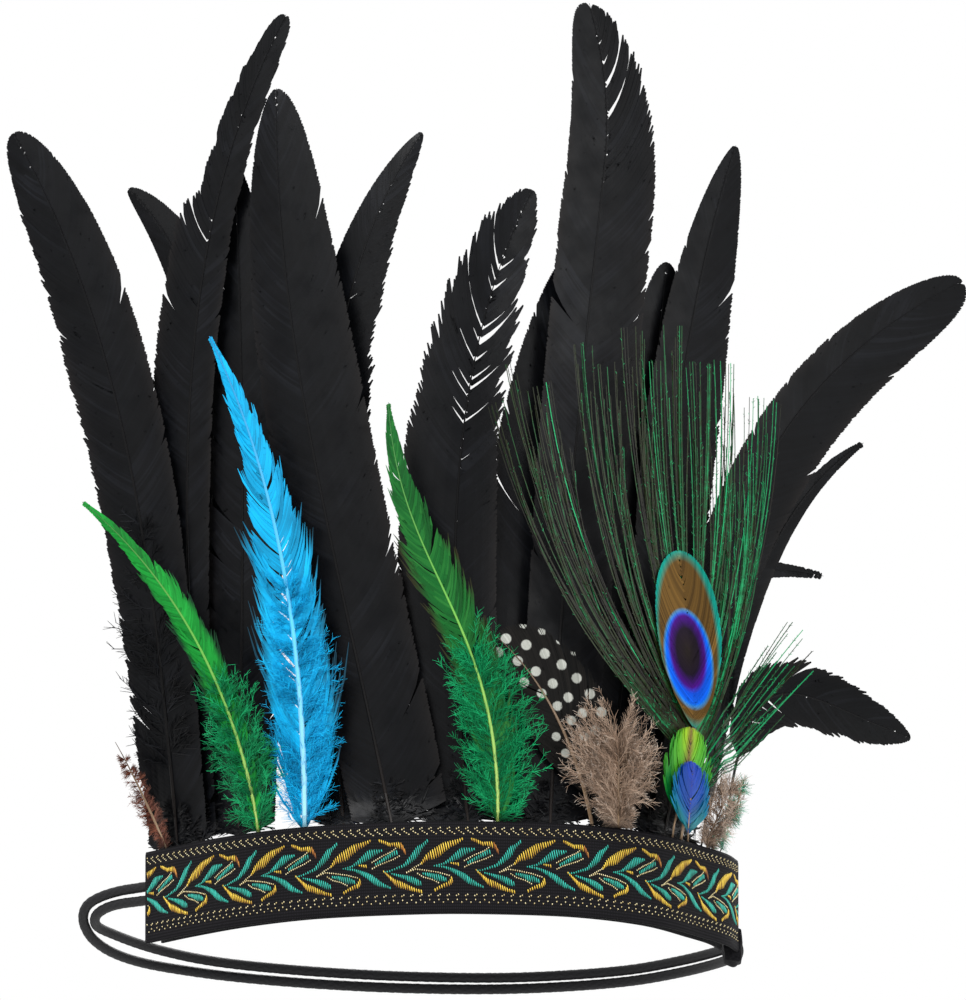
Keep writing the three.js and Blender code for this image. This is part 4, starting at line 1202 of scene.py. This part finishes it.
for number in range(int(band_length / BORDER_PERIOD) + 1):
    for a, u in border_dots:
        a = a + number * BORDER_PERIOD + 0.4
        along, up = (DOT_HALF, 0) if 21 < u < 22.6 else (0, DOT_HALF)
        floats["cream"].append(((a - along, u - up), (a + along, u + up)))

# %% Stitch them
rng = np.random.default_rng(SEEDS["ribbon"])
heap = Heap()
for key, ends in floats.items():
    ends = np.array(ends)
    centre = ends.mean(axis=1)
    on_band = (centre[:, 0] > 0.8) & (centre[:, 0] < band_length - 0.6)
    ends = ends[on_band & (centre[:, 1] > EDGE_LOW) & (centre[:, 1] < EDGE_HIGH)]
    half, height = (0.2, 0.16) if key == "cream" else (0.21, 0.2)
    rings = stitches(ends, half, height, rng)
    chance = rng.random(len(ends))[:, None, None]
    # the second value, the place along a stitch, carries the threads' painted shade and highlight
    values = np.stack(np.broadcast_arrays(0.0, STITCH_STEPS[None, :, None], chance, 1.0), -1)
    heap.add(rings, values, slot=list(threads).index(key))
    print(key, "stitches", len(ends))
stitching = heap.build("ribbon_stitches", list(threads.values()), "ribbon", (), "stitch", smooth_faces=True)

# %% [markdown]
# ## Felt backing and knot
# A strip of black felt hides the glued quills from behind and is the side that touches the forehead. At
# the right end both cords run into a lump of the same felt, folded round their ends and pressed flat at
# the band.

# %% Felt finish, backing and knot
felt = new_material("black_felt", roughness=0.95, specular=0.06, sheen=0.06)
fuzz = noise(felt, 1400, 5, roughness=0.7)
plug(felt, "Base Color", ramp(felt, fuzz, [(0.3, (0.003, 0.003, 0.0035)), (0.7, (0.014, 0.014, 0.016))]))
bump(felt, fuzz, 0.8, 0.0003)
START, FOOT = 0.9, 0.5  # the backing begins and ends just inside the ribbon's edges
behind = -(ribbon_thickness / 2 + pocket + backing_thickness / 2)
backing = band_sheet("felt_backing", "backing_strip", felt, START, band_length, FOOT,
                     FOOT + backing_height, behind, backing_thickness, 216, 14)

# %% Knot
bpy.ops.object.select_all(action="DESELECT")
SEGMENTS, RINGS = 56, 40
bpy.ops.mesh.primitive_uv_sphere_add(segments=SEGMENTS, ring_count=RINGS, radius=1, location=(0, 0, 0))
knot = bpy.context.object
knot.name = "felt_knot"
middle, size = np.array([88.2, -4.9, -10.4]), np.array([5.6, 7, 10.6])
count = len(knot.data.vertices)
p = np.empty(count * 3)
knot.data.vertices.foreach_get("co", p)
p = p.reshape(-1, 3)
boxy = p / np.abs(p).max(axis=1)[:, None]
lump = 1 + 0.07 * np.sin(5 * p[:, 2] + 3 * p[:, 0]) * np.cos(4 * p[:, 1])
fold = 1 - 0.05 * smooth(1 - np.abs(p[:, 2] + 0.25 * np.sin(3 * p[:, 0]) - 0.1) / 0.1)
shape = (p + (boxy - p) * 0.45) * (lump * fold)[:, None]
shape[:, 1] = np.clip(shape[:, 1], -0.86, 0.86) / 0.86
knot.data.vertices.foreach_set("co", ((middle + shape * size / 2) * MM).ravel())
knot.data.update()
bpy.ops.object.shade_smooth()
knot.data.materials.append(felt)
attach(knot, "root")
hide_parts("end_knot")
tally.append(2 * SEGMENTS * (RINGS - 1))
print("knot:", count, "points")

# %% [markdown]
# ## Light and floor
# A bright even room, with one large soft light from the front left and a weaker one from the right,
# gives soft shading and small highlights on the barbs. The floor is plain and pale and lies well below.

# %% Lights, world and floor
def area_light(name, location, size, power, target=(0.02, -0.05, 0.1)):
    """A soft round light, aimed at the ribbon's front."""
    light = bpy.data.objects.new(name, bpy.data.lights.new(name, "AREA"))
    bpy.context.scene.collection.objects.link(light)
    light.data.shape, light.data.size, light.data.energy = "DISK", size, power
    light.location = location
    light.rotation_euler = (Vector(target) - Vector(location)).to_track_quat("-Z", "Y").to_euler()


area_light("key_light", (-1.3, -1.9, 1.9), 1.2, 60)
area_light("fill_light", (1.6, -1.6, 0.6), 1.6, 22)
area_light("back_light", (0.5, 1.6, 1.4), 1.0, 25)
world = bpy.data.worlds.new("studio")
bpy.context.scene.world = world
world.use_nodes = True
world.node_tree.nodes["Background"].inputs["Color"].default_value = (1, 1, 1, 1)
world.node_tree.nodes["Background"].inputs["Strength"].default_value = 1.0
bpy.context.scene.view_settings.view_transform = "Standard"

bpy.ops.object.select_all(action="DESELECT")
bpy.ops.mesh.primitive_plane_add(size=24, location=(0, 0, -1.6))
floor = bpy.context.object
floor.name = "floor"
floor_finish = new_material("pale_floor", roughness=0.8)
floor_finish.node_tree.nodes["Principled BSDF"].inputs["Base Color"].default_value = (0.85, 0.85, 0.84, 1)
floor.data.materials.append(floor_finish)

# %% [markdown]
# The triangles of the new pieces are added up.

# %% Count the new pieces' triangles
print("triangles in new pieces:", sum(tally))
